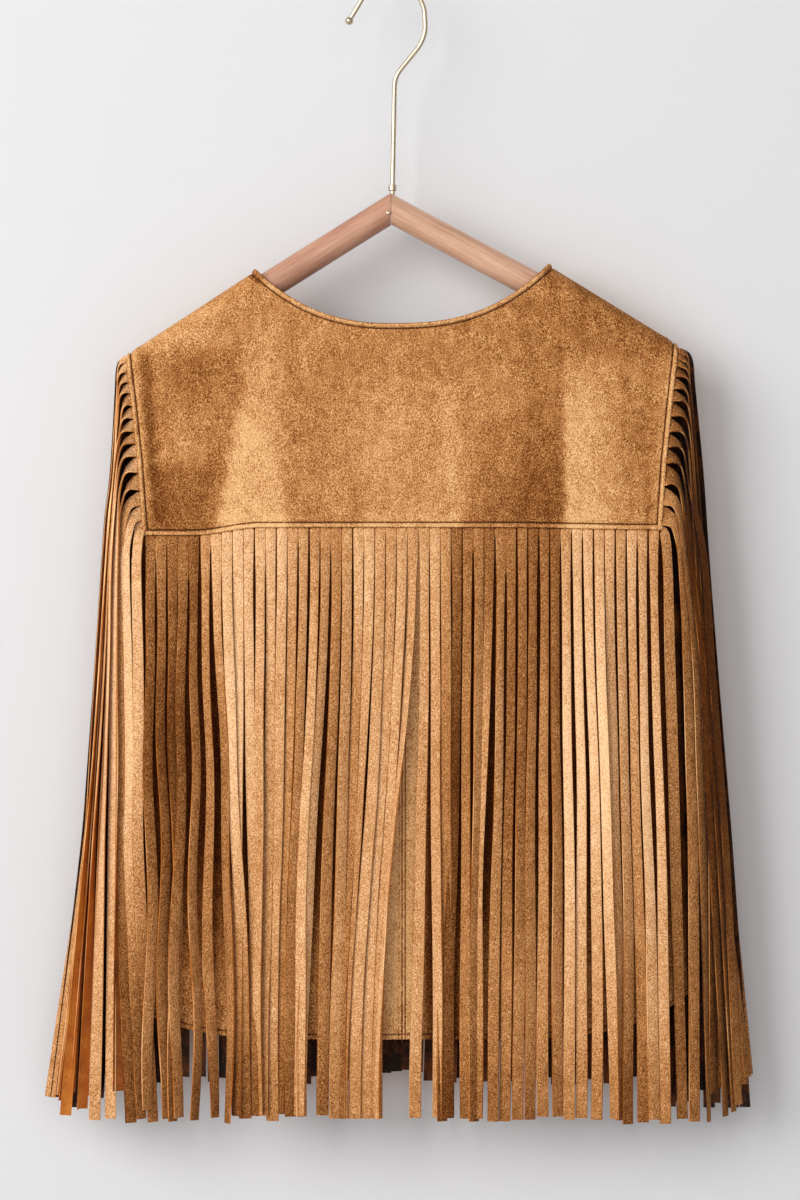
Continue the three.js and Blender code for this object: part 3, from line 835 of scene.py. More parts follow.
def strand_cutter():
    """Geometry Nodes that turn each spine into a flat strand: nap in front, backing behind, cut edges."""
    tree, given = new_tree("cut_strands", (
        ("Spines", "Geometry"), ("Thickness", "Float"), ("Nap", "Material"), ("Backing", "Material"),
        ("Edge", "Material")), "Strands")
    curves = node(tree, "GeometryNodeMeshToCurve", {"Mesh": given["Spines"]})
    square = node(tree, "GeometryNodeCurvePrimitiveQuadrilateral", {"Width": 2.0, "Height": 2.0})
    section = node(tree, "GeometryNodeSubdivideCurve", {"Curve": square, "Cuts": 3})
    here = node(tree, "GeometryNodeInputPosition")
    marked = node(tree, "GeometryNodeStoreNamedAttribute", {
        "Geometry": section, "Name": "section", "Value": here}, data_type="FLOAT_VECTOR", domain="POINT")
    swept = node(tree, "GeometryNodeCurveToMesh", {
        "Curve": curves, "Profile Curve": marked, "Fill Caps": True})
    read = {}
    for name in ("section", "across", "facing", "spot", "crown"):
        kind = "FLOAT" if name == "crown" else "FLOAT_VECTOR"
        read[name] = node(tree, "GeometryNodeInputNamedAttribute", {"Name": name}, data_type=kind)
    parts = node(tree, "ShaderNodeSeparateXYZ", {"Vector": read["section"]}).outputs
    aside, front = parts["X"], parts["Y"]
    half = node(tree, "ShaderNodeMath", {0: given["Thickness"], 1: 0.5}, operation="MULTIPLY")
    rolled = node(tree, "ShaderNodeMath", {0: aside, 1: CROWN_POWER}, operation="POWER")
    crown = node(tree, "ShaderNodeMath", {0: 1.0, 1: rolled}, operation="SUBTRACT")
    lift = node(tree, "ShaderNodeMath", {0: crown, 1: read["crown"]}, operation="MULTIPLY")
    rise = node(tree, "ShaderNodeMath", {0: front, 1: half, 2: lift}, operation="MULTIPLY_ADD")
    forward = node(tree, "ShaderNodeMath", {0: front, 1: 0.0}, operation="MAXIMUM")
    narrow = node(tree, "ShaderNodeMath", {0: forward, 1: -CUT_SLANT, 2: 1.0}, operation="MULTIPLY_ADD")
    slant = node(tree, "ShaderNodeMath", {0: aside, 1: narrow}, operation="MULTIPLY")
    over = node(tree, "ShaderNodeVectorMath", {0: read["across"], "Scale": slant}, operation="SCALE")
    out = node(tree, "ShaderNodeVectorMath", {0: read["facing"], "Scale": rise}, operation="SCALE")
    moved = node(tree, "ShaderNodeVectorMath", {0: read["spot"], 1: over}, operation="ADD")
    place = node(tree, "ShaderNodeVectorMath", {0: moved, 1: out}, operation="ADD")
    shaped = node(tree, "GeometryNodeSetPosition", {"Geometry": swept, "Position": place})
    nap = node(tree, "FunctionNodeCompare", {"A": front, "B": NAP_FROM}, operation="GREATER_THAN")
    rear = node(tree, "FunctionNodeCompare", {"A": front, "B": 0.0}, operation="LESS_THAN")
    whole = node(tree, "GeometryNodeRealizeInstances", {"Geometry": shaped})
    for name, chosen in (("Edge", True), ("Nap", nap), ("Backing", rear)):
        whole = node(tree, "GeometryNodeSetMaterial", {
            "Geometry": whole, "Selection": chosen, "Material": given[name]})
    node(tree, "NodeGroupOutput", {"Strands": whole})
    return tree


def run_nodes(name, mesh, tree, inputs, angle=40):
    """Runs a tree on a mesh and gives the result as a plain mesh."""
    holder = placed(name, mesh)
    modifier = holder.modifiers.new("nodes", "NODES")
    modifier.node_group = tree
    named = {s.name: s.identifier for s in tree.interface.items_tree if s.in_out == "INPUT"}
    for key, value in inputs.items():
        modifier[named[key]] = value
    bpy.context.view_layer.update()
    graph = bpy.context.evaluated_depsgraph_get()
    made = bpy.data.meshes.new_from_object(holder.evaluated_get(graph))
    bpy.data.objects.remove(holder)
    made.name = name
    return finish_mesh(made, angle)


def strand_frames(path, angle, width, tone, steps, side, cup, under):
    """Spots along one strand, as the cutter reads them. path(t) is its middle line; angle(t) turns its face
    about its length, 0 facing straight out of the vest's back or front; cup is how far its middle bulges
    out, and under the shade of its backing."""
    tiny = 1e-3
    rows = []
    for t in steps:
        spot = metres(path(t))
        run = (path(min(1, t + tiny)) - path(max(0, t - tiny))).normalized()
        face = Vector((0, side, 0))
        face = (face - run * face.dot(run)).normalized()
        face = Matrix.Rotation(math.radians(angle(t)), 3, run) @ face
        half = run.cross(face) * width(t) / 2
        rows.append((spot, spot, half * MM, face, cup * MM, tone(t), under))
    return rows


CUTTER = strand_cutter()


def strands_piece(name, strands, node_name):
    spines = chain_mesh(name, strands, ("spot", "across", "facing", "crown", "tone", "under"))
    mesh = run_nodes(name, spines, CUTTER, {
        "Thickness": STRAND_THICK * MM, "Nap": FRINGE_NAP, "Backing": BACKING, "Edge": CUT})
    made = piece(name, mesh)
    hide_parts(node_name)
    return made


HEAD_TONES = [  # place across the back, shade of the nap at the strands' heads
    (-185, -0.7), (-146, -0.65), (-136, 0.3), (-118, 0.85), (-96, 0.5), (-84, 0.6), (-66, 0.1), (-46, -0.2),
    (-38, 0.25), (-4, 0.3), (30, 0.35), (38, -0.6), (60, -0.55), (96, -0.7), (115, -0.7), (119, 0.5),
    (150, 0.45), (160, 0.3), (172, 0.5), (185, 0.1),
]

# Back strands from the wearer's left: drift of the end, turn of the face half way down and at the end
# (towards the left is more than 0), shade half way down and at the end, how much longer, and how far
# it hangs out over its neighbours
# The shades are partly the nap's own tone and partly painted shade, darker on strands that lie behind others
# or turn from the light.
BACK_ROWS = [
    (-1, -16, -34, -0.9, -0.2, -6, 0), (3, -28, -40, -1.1, -0.35, 0, 0.8),
    (2, -30, -42, -1.2, -0.45, 2, 0), (-4, -20, -40, -1.0, -0.2, -1, 2),
    (0, -30, -46, -0.7, -0.4, 1, 0.9), (6.5, 30, -52, -0.4, -0.4, -1, 0.3), (8.5, 36, 62, -0.7, -0.4, 3, 0),
    (14.5, 12, 4, 0.9, -0.5, 0, 2.6), (0, 20, 48, 0.7, -0.6, -2, 0), (4, 10, 40, 0.7, -0.6, -2, 0.7),
    (-1, 26, 36, 0.25, 0.1, -2, 1.8), (-5, 22, 30, 0.15, 0.05, -2, 0.2), (-7, 16, 14, 0.2, 0.05, 2, 2),
    (-8.5, 24, 22, -0.2, -0.5, -3, 0.9), (-10, -16, -20, -0.25, -0.45, -1, 1.6),
    (-9.8, 22, 20, 0.4, 0.45, -2, 1.9), (-17, -24, -30, 0.2, 0.3, -1, 0),
    (-10.6, -10, -6, -0.4, -0.35, -2, 0.8), (-7.9, -14, -8, 0, 0.1, 0, 2.6),
    (-12.5, 24, 32, -0.3, -0.5, 0, 0), (-19.2, 20, 18, 0.1, -0.1, 0, 1), (-18.5, 14, 10, 0.25, 0.2, 0, 1.8),
    (-18.8, 14, 10, 0.3, 0.25, 0, 0.9), (-19.2, 12, 8, 0.3, 0.1, 0, 2), (-26.4, 62, 60, 0.3, 0.4, 0, 0.2),
    (-5.3, 12, 5, 0.1, 0.3, 0, 1.2), (1.6, 30, 46, 0.15, 0.3, -0.5, 0.5),
    (-1.9, 20, -36, -0.4, -0.7, 2, 1.8), (-5, -20, -30, -1.2, -0.8, 0, 0),
    (-2, 28, 34, -0.5, -0.4, 0, 1.4), (-4, -24, -38, -0.2, -0.5, 2, 0.7), (-8.4, 16, 26, 0.2, -0.2, 0, 0),
    (-6.4, -14, 20, 0.05, -0.4, 2, 1.5), (-4.9, 14, 16, -0.8, -0.3, 2, 0.6),
    (-3.4, -14, -12, -0.8, -0.1, 1, 1.4), (-2.4, -18, -20, -0.5, -0.3, 1, 0.5),
    (-1.2, 10, 10, -0.2, -0.15, -1, 1.6), (0.7, -22, -24, -0.5, -0.2, -1, 0.3),
    (1.8, 18, 15, 1.0, 0.15, 1, 1.7), (3.7, 14, 12, 0.95, 0.1, 0, 0.9), (6.2, 20, 20, 0.9, 0.05, 1, 0.4),
    (10.4, 28, 40, 1.05, 0.15, 0, 2.2), (7, -12, -46, 0.4, -0.4, 1, 0), (4, -24, -26, 0.25, -0.5, 4, 1.4),
    (8.3, 12, 10, 0.1, -0.55, 3, 0.6), (7.3, -10, -8, 0.75, 0.1, 1, 1.8),
    (8.2, 16, 10, 0.6, 0, 4, 1),
]

BACK_STAND = 3.4      # how far the back's strands come to stand off the body, and the front's
FRONT_STAND = 1.2
HEAD_UNDER = 1.2      # how far a strand's head reaches under the yoke
HEAD_OFF = -0.9       # of its middle from the body's face there
OUT_OF_SEAM = 1.5     # how far it then comes out of the seam
SEAM_DROP, LEAN_DROP, OVER_DROP, STAND_DROP = 4.5, 12, 80, 160  # drops within which it makes each move
HUNG_CUP = 0.45       # how far a strand's middle bulges
OVERLAP = 0.8         # by which the back's strands are wider than their width, less the slits
WAVE, CALM_WAVE, WAVING = 2.0, 0.4, 5  # how far strands wave, how far calm ones do, and how many wave
TOGETHER = range(16, 25)               # strands that drift as one, down their whole length
SEAM_SHADE_PAINTED, ENDS_DARKER = -1.2, -0.45         # painted shade at the seam, where the heads lie under its roll, and darker towards the ends
SEAM_SHADE_PAINTED_TO = 0.007                     # share of a strand's length that has the painted shade under the seam
CLOSING = 6           # strands on each side of the open front that hang towards its middle and close it
CLOSE_DRIFT = 6.6
CLOSE_GAP = -0.7
HEAD_STEPS = [0, 0.002, 0.0035, 0.005, 0.007, 0.01, 0.015]
HUNG_STEPS = HEAD_STEPS + [mix(HEAD_STEPS[-1], 1, (i / 38) ** 1.3) for i in range(1, 39)]


def strand_off(drop, stand, over, lean):
    """Distance of a hung strand's middle from the body: it comes out from under the seam's roll."""
    under = HEAD_OFF + OUT_OF_SEAM * smooth(drop / SEAM_DROP)
    apart = stand * smooth(drop / STAND_DROP) + over * smooth((drop - 2) / OVER_DROP)
    return under + apart + lean * smooth(drop / LEAN_DROP)


def slits(count, seed):
    """Width of each slit between strands, and how far below the seam it opens."""
    luck = random.Random(seed)
    widths, opens = [0.6, 1.1, 1.5, 1.9, 2.4], [0, 1, 3, 6, 10, 16, 30]
    return [(luck.choice(widths), luck.choice(opens)) for _ in range(count + 1)]


BACK_SLITS = slits(BACK_STRANDS, 21)
BACK_SLITS[9] = (0.6, 74)  # between two strands that lie side by side for long


def back_strand(k, seed):
    """One strand under the back yoke, as its row in the table has it, with small waves of its own."""
    drift, mid_turn, end_turn, mid_shade, end_shade, longer, over = BACK_ROWS[k]
    luck = random.Random(seed)
    pitch = 2 * FRINGE_HALF / BACK_STRANDS
    root = -FRINGE_HALF + (k + 0.5) * pitch
    top = yoke_seam(root) + HEAD_UNDER
    end = BACK_END - longer
    sway, phase = luck.uniform(-1.4, 1.4), luck.uniform(0, 6)
    wave = mix(WAVE, CALM_WAVE, smooth((k - WAVING) / 3))
    settled = 0.95 if k in TOGETHER else luck.uniform(0.6, 1.1)
    head = look_up(HEAD_TONES, root) + luck.uniform(-0.2, 0.2)
    turns = [(0.0, 0.0), (0.02, 0.05 * mid_turn), (0.12, 0.4 * mid_turn), (0.45, mid_turn), (1.0, end_turn)]

    def slit(which, t):
        """Width of the slit on one side: it opens in two steps, and closes up where the ends crowd."""
        gap, opens = BACK_SLITS[k + which]
        below = t * (top - end) - opens
        crowded = 1 - 0.55 * smooth((t - 0.4) * 2)
        return gap * crowded * (0.45 * smooth((below + 1) / 3) + 0.55 * smooth(below / 45))

    def angle(t):
        return curve_through(turns, t) + 3 * math.sin(7 * t + phase) * smooth(t * 5)

    def path(t):
        z = mix(top, end, t)
        x = root + drift * smooth((t - 0.04) / settled) + sway * math.sin(3 * t + phase) * smooth(t * 2)
        x += wave * math.sin((12 + 1.5 * math.sin(2.1 * k)) * t + 0.7 * k) * smooth(t * 3 - 0.3)
        x += (slit(0, t) - slit(1, t)) / 4
        lean = abs(math.sin(math.radians(angle(t)))) * STRAND_WIDTH / 2
        return hang(x, BACK * (body_depth(x, z) + strand_off(top - z, BACK_STAND, over, lean)), z)

    def width(t):
        return mix(pitch, STRAND_WIDTH + OVERLAP, smooth(t * 1.3)) - (slit(0, t) + slit(1, t)) / 2

    def tone(t):
        hung = mix(head, mix(mid_shade, end_shade, smooth(t * 1.6 - 0.5)), smooth(t * 2.6 - 0.05))
        # painted shade under the seam's roll, and darker towards the ends
        seam_shade_and_darker_ends = SEAM_SHADE_PAINTED * (1 - smooth(t / SEAM_SHADE_PAINTED_TO)) + ENDS_DARKER * smooth((t - 0.8) * 5)
        return hung + 0.06 * math.sin(5 * t + phase) + seam_shade_and_darker_ends

    return strand_frames(path, angle, width, tone, HUNG_STEPS, BACK, HUNG_CUP, under=0.0)


strands_piece("strands_back", [back_strand(k, 100 + k) for k in range(BACK_STRANDS)],
              "fringe_back")


def front_strand(k, sign, seed):
    """One strand under a front yoke, counted from the middle. The front doesn't show, so chance places it."""
    luck = random.Random(seed)
    pitch = (FRINGE_HALF - FRONT_FROM) / FRONT_STRANDS
    root = sign * (FRONT_FROM + (k + 0.5) * pitch)
    top = yoke_seam(root) + HEAD_UNDER
    end = FRONT_END + luck.uniform(-2, 5) + max(0, 9 - 3 * k)
    drift, lag = luck.gauss(0, 3.4), luck.uniform(1.2, 2.0)
    turn = luck.choice([-1, 1]) * luck.uniform(6, 50)
    over, shade, phase = (k % 2) * 0.9 + luck.uniform(0, 1.0), luck.uniform(-0.45, 0.4), luck.uniform(0, 6)
    gap = luck.uniform(0.8, 1.9)
    if k < CLOSING:
        drift, turn, gap = -sign * CLOSE_DRIFT, turn / 4, CLOSE_GAP
        over = (k % 2) * 1.7 + (0.8 if sign == LEFT else 0)

    def angle(t):
        return turn * smooth(t / 0.7) + 6 * math.sin(4 * t + phase) * smooth(t * 3)

    def path(t):
        z = mix(top, end, t)
        x = root + drift * t ** lag + 0.8 * math.sin(3 * t + phase) * smooth(t * 2)
        lean = abs(math.sin(math.radians(angle(t)))) * STRAND_WIDTH / 2
        return hang(x, body_depth(x, z) + strand_off(top - z, FRONT_STAND, over, lean), z)

    def width(t):
        return mix(pitch - 0.5 * gap, mix(pitch - gap, 8.2 - 0.5 * gap, smooth(t * 1.4)), smooth(t * 16))

    def tone(t):
        return shade * smooth(t * 2.2) + 0.08 * math.sin(5 * t + phase)

    # painted shade: the backing of the front's strands, seen below the hem from behind, is darkened for the
    # vest's shadow
    under = luck.uniform(-1.3, -0.8)
    return strand_frames(path, angle, width, tone, HUNG_STEPS, FRONT, HUNG_CUP, under)


for hand, sign in HANDS:
    strands = [front_strand(k, sign, 300 + 40 * sign + k) for k in range(FRONT_STRANDS)]
    strands_piece(f"strands_front_{hand}", strands, f"fringe_front_{hand}")

# ---------------------------------------------------------------- armhole strands

LOWER, UPPER = -622, -409  # heights at which a strand's distance inside the outermost one is given
LEFT_OUTLINE = [  # height, how far out the outermost strand hangs
    (-275, 204), (-300, 207), (-352, 209.6), (-383, 213.2), (-409, 215), (-489, 220.5), (-563, 226),
    (-622, 231), (-733, 242.3), (-800, 252),
]
RIGHT_OUTLINE = [
    (-275, 205), (-288, 208.7), (-326, 213.8), (-352, 215.9), (-409, 219.9), (-489, 226.4), (-563, 232.7),
    (-622, 237.6), (-733, 248.6), (-800, 253.5),
]

# Strands of the back half of each armhole, from its lower end up: how far inside the outline each hangs
# at UPPER and at LOWER, how far out its end is, the turn of its face at LOWER and at its end (90 turns it
# outwards, edge on), the height of its end, its shade, and the shade of its end
# The left's shades are partly the nap's tone and partly painted light on strands that face the light.
LEFT_ARMHOLE = [
    (24.5, 41, 179, 6, -35, -820, 0.5, -0.8),
    (15.5, 34.5, 187.6, 16, -32, -818, 0.8, -0.7),
    (9.5, 28, 195.2, 18, -22, -821, -0.2, -0.9),
    (8.2, 26, 204.2, 84, 158, -798, 0.0, 0.0),
    (6.5, 22, 210, 50, 12, -818, 0.8, 0.2),
    (5, 15, 221.5, 66, 4, -819, 0.9, 0.2),
    (4.4, 9, 230.5, 88, 150, -811, 0.1, -0.5),
    (3.0, 3.5, 242.7, 98, 166, -816, 0.6, 0.2),
    (4.6, 8, 233.7, 92, 84, -812, 0.5, 0.5),
    (5.2, 12, 226, 86, 75, -802, 0.2, 0.2),
    (3.0, 6.2, 238, 94, 110, -800, 0.7, 0.4),
    (2.6, 4.0, 246, 100, 120, -806, 0.6, 0.1),
    (1.4, 2.7, 249, 90, 80, -802, 0.9, 0.5),
    (0.6, 0.9, 254.5, 112, 12, -804, 0.9, 0.0),
]
# The right's shades, mostly far below 0, are painted shade on strands that face away from the light.
RIGHT_ARMHOLE = [
    (29, 41, 201.9, 10, 20, -818, -0.3, -0.7),
    (16.5, 28, 210.5, 24, 12, -820, -0.5, -0.6),
    (11, 21, 221, 40, 74, -820, -0.5, -0.6),
    (6, 14.5, 233, 42, 60, -816, -1.7, -0.8),
    (4, 9, 239, 50, 62, -813, -1.9, -0.7),
    (3, 4.5, 242, 48, 48, -808, -1.9, -0.6),
    (7.8, 15, 224, 64, 40, -800, -1.6, -1.0),
    (5.6, 10, 231, 70, 34, -796, -1.9, -1.0),
    (5.3, 7.8, 246.9, 84, 50, -794, -1.8, -0.8),
    (5.0, 7.2, 249.4, 60, 54, -789, -1.8, -0.8),
    (3.0, 5.0, 236, 90, 44, -802, -1.9, -1.1),
    (2.7, 4.6, 244, 70, 56, -798, -1.8, -0.8),
    (2.4, 4.0, 247, 54, 50, -786, -1.8, -0.8),
    (1.8, 3.4, 250.6, 44, 34, -788, -1.8, -0.8),
]

# The heights at which the strands' heads meet along the armhole's edge, from its lower end up
LEFT_HEADS = [
    -397, -387, -376, -365.5, -352.5, -340, -330.5, -321.5, -312, -303, -293, -285, -277.5, -270.5, -264.5,
]
RIGHT_HEADS = [
    -397, -391, -377, -364, -348, -336.5, -326, -315.5, -304, -295.5, -287, -279.5, -274.5, -270.5, -266,
]
OUT_OF_EDGE = [  # where a strand runs as it bends out of the edge. Run along it; share of the way out, at the
    # armhole's upper and lower end, and past it; share of the way to its depth, and past it; drop at each end
    (0, 0, 0, -HEAD_UNDER, 0, 0, 0, 0),
    (3.4, 0, 0, 2.2, 0, 0.4, 0.3, 1.0),
    (8, 0.64, 0.44, 0.8, 0.2, 2.0, 2.6, 4.4),
    (15, 0.9, 0.7, 0.4, 0.45, 2.4, 8.6, 10.4),
]
TURNING = [(0, 0), (1.8, 0.04), (5, 0.5), (9, 0.88), (15, 1)]  # run along the strand, share of its turn made
NEAREST, FARTHEST = 5, 15  # how far outside its head a strand hangs once it has bent
HEAD_WIDTH, HUNG_WIDTH = 7.4, 8.4
ARMHOLE_CUP = 0.3
ARMHOLE_STEPS = [(i / 60) ** 2.2 for i in range(61)]


def armhole_strand(row, k, side, sign, seed):
    """One strand of an armhole fringe: it leaves the edge, turns its face outwards and hangs down."""
    upper_in, lower_in, end_out, mid_turn, end_turn, end, shade, end_shade = row
    outline, heads = (LEFT_OUTLINE, LEFT_HEADS) if sign == LEFT else (RIGHT_OUTLINE, RIGHT_HEADS)
    luck = random.Random(seed)
    along = 1 - (k + 0.5) / SLEEVE_STRANDS
    pitch = heads[k + 1] - heads[k]
    root = (heads[k] + heads[k + 1]) / 2
    edge = half_width(root) - HEAD_UNDER
    root_depth = (body_depth(edge, root) + HEAD_OFF) * math.sin(fold_angle(edge, root))
    swing = SLEEVE_DEPTH * math.sin(along * math.pi / 2) + luck.uniform(-2.2, 1.2)
    length = root - end

    def out_at(z):
        return look_up(outline, z) - mix(lower_in, upper_in, clamp01((z - LOWER) / (UPPER - LOWER)))

    drop = mix(24, 34, along)
    near = max(min(out_at(root - drop), edge + FARTHEST), edge + NEAREST)
    controls = []
    for run, out_upper, out_lower, past, deep, beyond, drop_upper, drop_lower in OUT_OF_EDGE:
        x = mix(edge, near, mix(out_upper, out_lower, along)) + past
        y = mix(root_depth, swing, deep) + beyond
        controls.append((run / length, (x, y, root - mix(drop_upper, drop_lower, along))))
    controls.append((drop / length, (near, mix(root_depth, swing, 0.8) + 1.2, root - drop + 4)))
    for z, _ in outline:
        if LOWER - 1 < z < root - drop - 40:
            controls.append(((root - z) / length, (out_at(z), swing, z)))
    controls.append((1.0, (end_out, swing, end)))
    rows = [(t, hang(sign * x, side * y, z)) for t, (x, y, z) in controls]
    outward = -sign * side * BACK
    most = 84 if side == BACK else (40 if sign == LEFT else 10)
    bent = min(max(mid_turn, mix(20, most, smooth((k - 1) / 3))), most + 6)
    slow = mix(1.0, 1.2, along)
    turns = [(run * slow / length, share * bent) for run, share in TURNING]
    turns += [(70 / length, mix(bent, mid_turn, 0.8)), (0.5, mid_turn), (1.0, end_turn)]
    phase = luck.uniform(0, 6)

    def path(t):
        return curve_through(rows, t)

    def angle(t):
        return outward * curve_through(turns, t) + 4 * math.sin(6 * t + phase) * smooth(t * 4)

    def width(t):
        narrowed = mix(pitch, HEAD_WIDTH, smooth((t * length - 2) / max(6, 0.8 * pitch)))
        return mix(narrowed, HUNG_WIDTH, smooth(t * 3 - 0.2))

    def tone(t):
        hung = mix(shade, end_shade, smooth(t * 1.6 - 0.5))
        return mix(shade * 0.4, hung, smooth(t * 8)) + 0.08 * math.sin(5 * t + phase)

    # The backing's painted light: lighter or darker on the left back half, whose reverse faces the light, and
    # painted shade on all other strands.
    under = luck.uniform(-0.7, 0.6) if side == BACK and sign == LEFT else -1.15
    return strand_frames(path, angle, width, tone, ARMHOLE_STEPS, side, ARMHOLE_CUP, under)


def front_rows(sign):
    """The hidden front half hangs evenly across the depth of the sleeve, and closes it from behind."""
    luck = random.Random(7 + sign)
    rows = []
    for k in range(SLEEVE_STRANDS):
        share = k / (SLEEVE_STRANDS - 1)
        # painted shade: the hidden front half is dark as seen from behind
        shade = luck.uniform(-1.4, -0.6)
        end_out = mix(184, 250, share) + luck.uniform(-4, 4)
        mid_turn = mix(8, 45, share) + luck.uniform(-14, 14)
        end_turn = luck.uniform(0, 80)
        end = -798 - luck.uniform(0, 16)
        upper_in, lower_in = mix(28, 1, share ** 0.7), mix(45, 2, share ** 0.7)
        rows.append((upper_in, lower_in, end_out, mid_turn, end_turn, end, shade, shade))
    return rows


for hand, sign in HANDS:
    table = LEFT_ARMHOLE if sign == LEFT else RIGHT_ARMHOLE
    for place, side, yoke_name in (("back", BACK, "yoke_back"), ("front", FRONT, f"yoke_front_{hand}")):
        rows = table if side == BACK else front_rows(sign)
        first = 500 + 90 * side + 30 * sign
        strands = [armhole_strand(row, k, side, sign, first + k) for k, row in enumerate(rows)]
        strands_piece(f"strands_armhole_{place}_{hand}", strands, f"fringe_armhole_{place}_{hand}")

# ---------------------------------------------------------------- stitches

# How far the thread lies below the face: in the yokes' edges, in the hems, and beside the middle seam
YOKE_SUNK, HEM_SUNK, SEAM_SUNK = -0.35, -0.25, -0.1
SEAM_STITCH = 2.35     # from the middle line to the stitches beside the back's middle seam
ARMHOLE_STITCHES = -269


def stitch_sewer():
    """Geometry Nodes that lay one short stitch at each step along the sewing lines."""
    tree, given = new_tree("sew_stitches", (
        ("Lines", "Geometry"), ("Pitch", "Float"), ("Length", "Float"), ("Thread", "Float"), ("Seed", "Int"),
        ("Material", "Material")), "Stitches")
    curves = node(tree, "GeometryNodeMeshToCurve", {"Mesh": given["Lines"]})
    spaced = node(tree, "GeometryNodeResampleCurve", {"Curve": curves, "Length": given["Pitch"]},
                  mode="LENGTH")
    tangent = node(tree, "GeometryNodeInputTangent")
    out = node(tree, "GeometryNodeInputNamedAttribute", {"Name": "out"}, data_type="FLOAT_VECTOR")
    along = node(tree, "FunctionNodeAlignRotationToVector", {"Vector": tangent}, axis="X")
    turned = node(tree, "FunctionNodeAlignRotationToVector", {"Rotation": along, "Vector": out},
                  axis="Z", pivot_axis="X")
    ball = node(tree, "GeometryNodeMeshUVSphere", {"Segments": 6, "Rings": 4, "Radius": 0.5})
    vary = node(tree, "FunctionNodeRandomValue", {2: 0.85, 3: 1.1, "Seed": given["Seed"]}, data_type="FLOAT")
    long = node(tree, "ShaderNodeMath", {0: given["Length"], 1: vary.outputs[1]}, operation="MULTIPLY")
    size = node(tree, "ShaderNodeCombineXYZ", {"X": long, "Y": given["Thread"], "Z": given["Thread"]})
    sewn = node(tree, "GeometryNodeInstanceOnPoints", {
        "Points": spaced, "Instance": ball, "Rotation": turned, "Scale": size})
    whole = node(tree, "GeometryNodeRealizeInstances", {"Geometry": sewn})
    done = node(tree, "GeometryNodeSetMaterial", {"Geometry": whole, "Material": given["Material"]})
    node(tree, "NodeGroupOutput", {"Stitches": done})
    return tree


def sewing_line(side, sunk, places):
    """Points a little below the cloth's face, and the way out of it, along a list of (x, z)."""
    rows = []
    for x, z in places:
        spot = body(side, x, z, sunk)
        rows.append((metres(spot), (body(side, x, z, sunk + 1) - spot).normalized()))
    return rows


def half_lines(side, sign, neck, start):
    """The sewing lines of one half of the back or front: neck, armhole, yoke seam, hem and middle."""
    necks = evenly(start, NECK_HALF - 1, 60)
    arms = evenly(ARMHOLE_STITCHES, YOKE - 2, 50)
    seams = evenly(start, half_width(YOKE) - STITCH_AT, 60)
    hems = evenly(max(start, SEAM_GROOVE), half_width(HEM) - 1, 60)
    downs = evenly(YOKE - 3, HEM + HEM_STITCH, 60)
    lines = [
        sewing_line(side, YOKE_SUNK, [
            (sign * x, neck(x) - STITCH_AT * math.hypot(1, slope_of(neck, x))) for x in necks]),
        sewing_line(side, YOKE_SUNK, [(sign * (half_width(z) - STITCH_AT), z) for z in arms]),
        sewing_line(side, YOKE_SUNK, [(sign * x, yoke_seam(sign * x) + STITCH_AT) for x in seams]),
        sewing_line(side, HEM_SUNK, [(sign * x, hem(x) + HEM_STITCH) for x in hems]),
    ]
    if side == FRONT:
        lines.append(sewing_line(side, HEM_SUNK, [(sign * (FRONT_GAP + HEM_STITCH), z) for z in downs]))
    elif sign == RIGHT:
        lines.append(sewing_line(side, SEAM_SUNK, [(sign * SEAM_STITCH, z) for z in downs]))
    return lines


def sewing_lines():
    lines = []
    for side, neck, start in ((BACK, back_neck, 0), (FRONT, front_neck, FRONT_GAP + STITCH_AT)):
        for sign in (LEFT, RIGHT):
            lines += half_lines(side, sign, neck, start)
    fronts = evenly(front_neck(FRONT_GAP) - STITCH_AT, YOKE + STITCH_AT, 20)
    for sign in (LEFT, RIGHT):
        lines.append(sewing_line(FRONT, YOKE_SUNK, [(sign * (FRONT_GAP + STITCH_AT), z) for z in fronts]))
    return chain_mesh("sewing_lines", lines, ("out",))


piece("stitching", run_nodes("stitching", sewing_lines(), stitch_sewer(), {
    "Pitch": 1.9 * MM, "Length": 1.4 * MM, "Thread": 0.6 * MM, "Seed": 3, "Material": THREAD}, angle=80))

# ---------------------------------------------------------------- hanger

MITRE_TOP = APEX + ARM_RADIUS / math.cos(math.radians(ARM_SLOPE))
EASE = 2            # length over which a dowel's end is rounded off
EASE_SHARE = 0.16   # share of its radius that the rounding takes
LEFT_BEECH = ("#8A5640", "#B5836A", "#CFA387")
RIGHT_BEECH = ("#A87658", "#CA9E82", "#E6BFA1")


def drill():
    """The cylinder that is cut out of the arms for the wire."""
    made = bmesh.new()
    bmesh.ops.create_cone(made, cap_ends=True, segments=40, radius1=HOLE_RADIUS * MM,
                          radius2=HOLE_RADIUS * MM, depth=2 * WIRE_DEPTH * MM)
    bmesh.ops.translate(made, verts=made.verts, vec=metres((WIRE_X, 0, MITRE_TOP)))
    mesh = bpy.data.meshes.new("drill")
    made.to_mesh(mesh)
    made.free()
    return placed("drill", mesh)


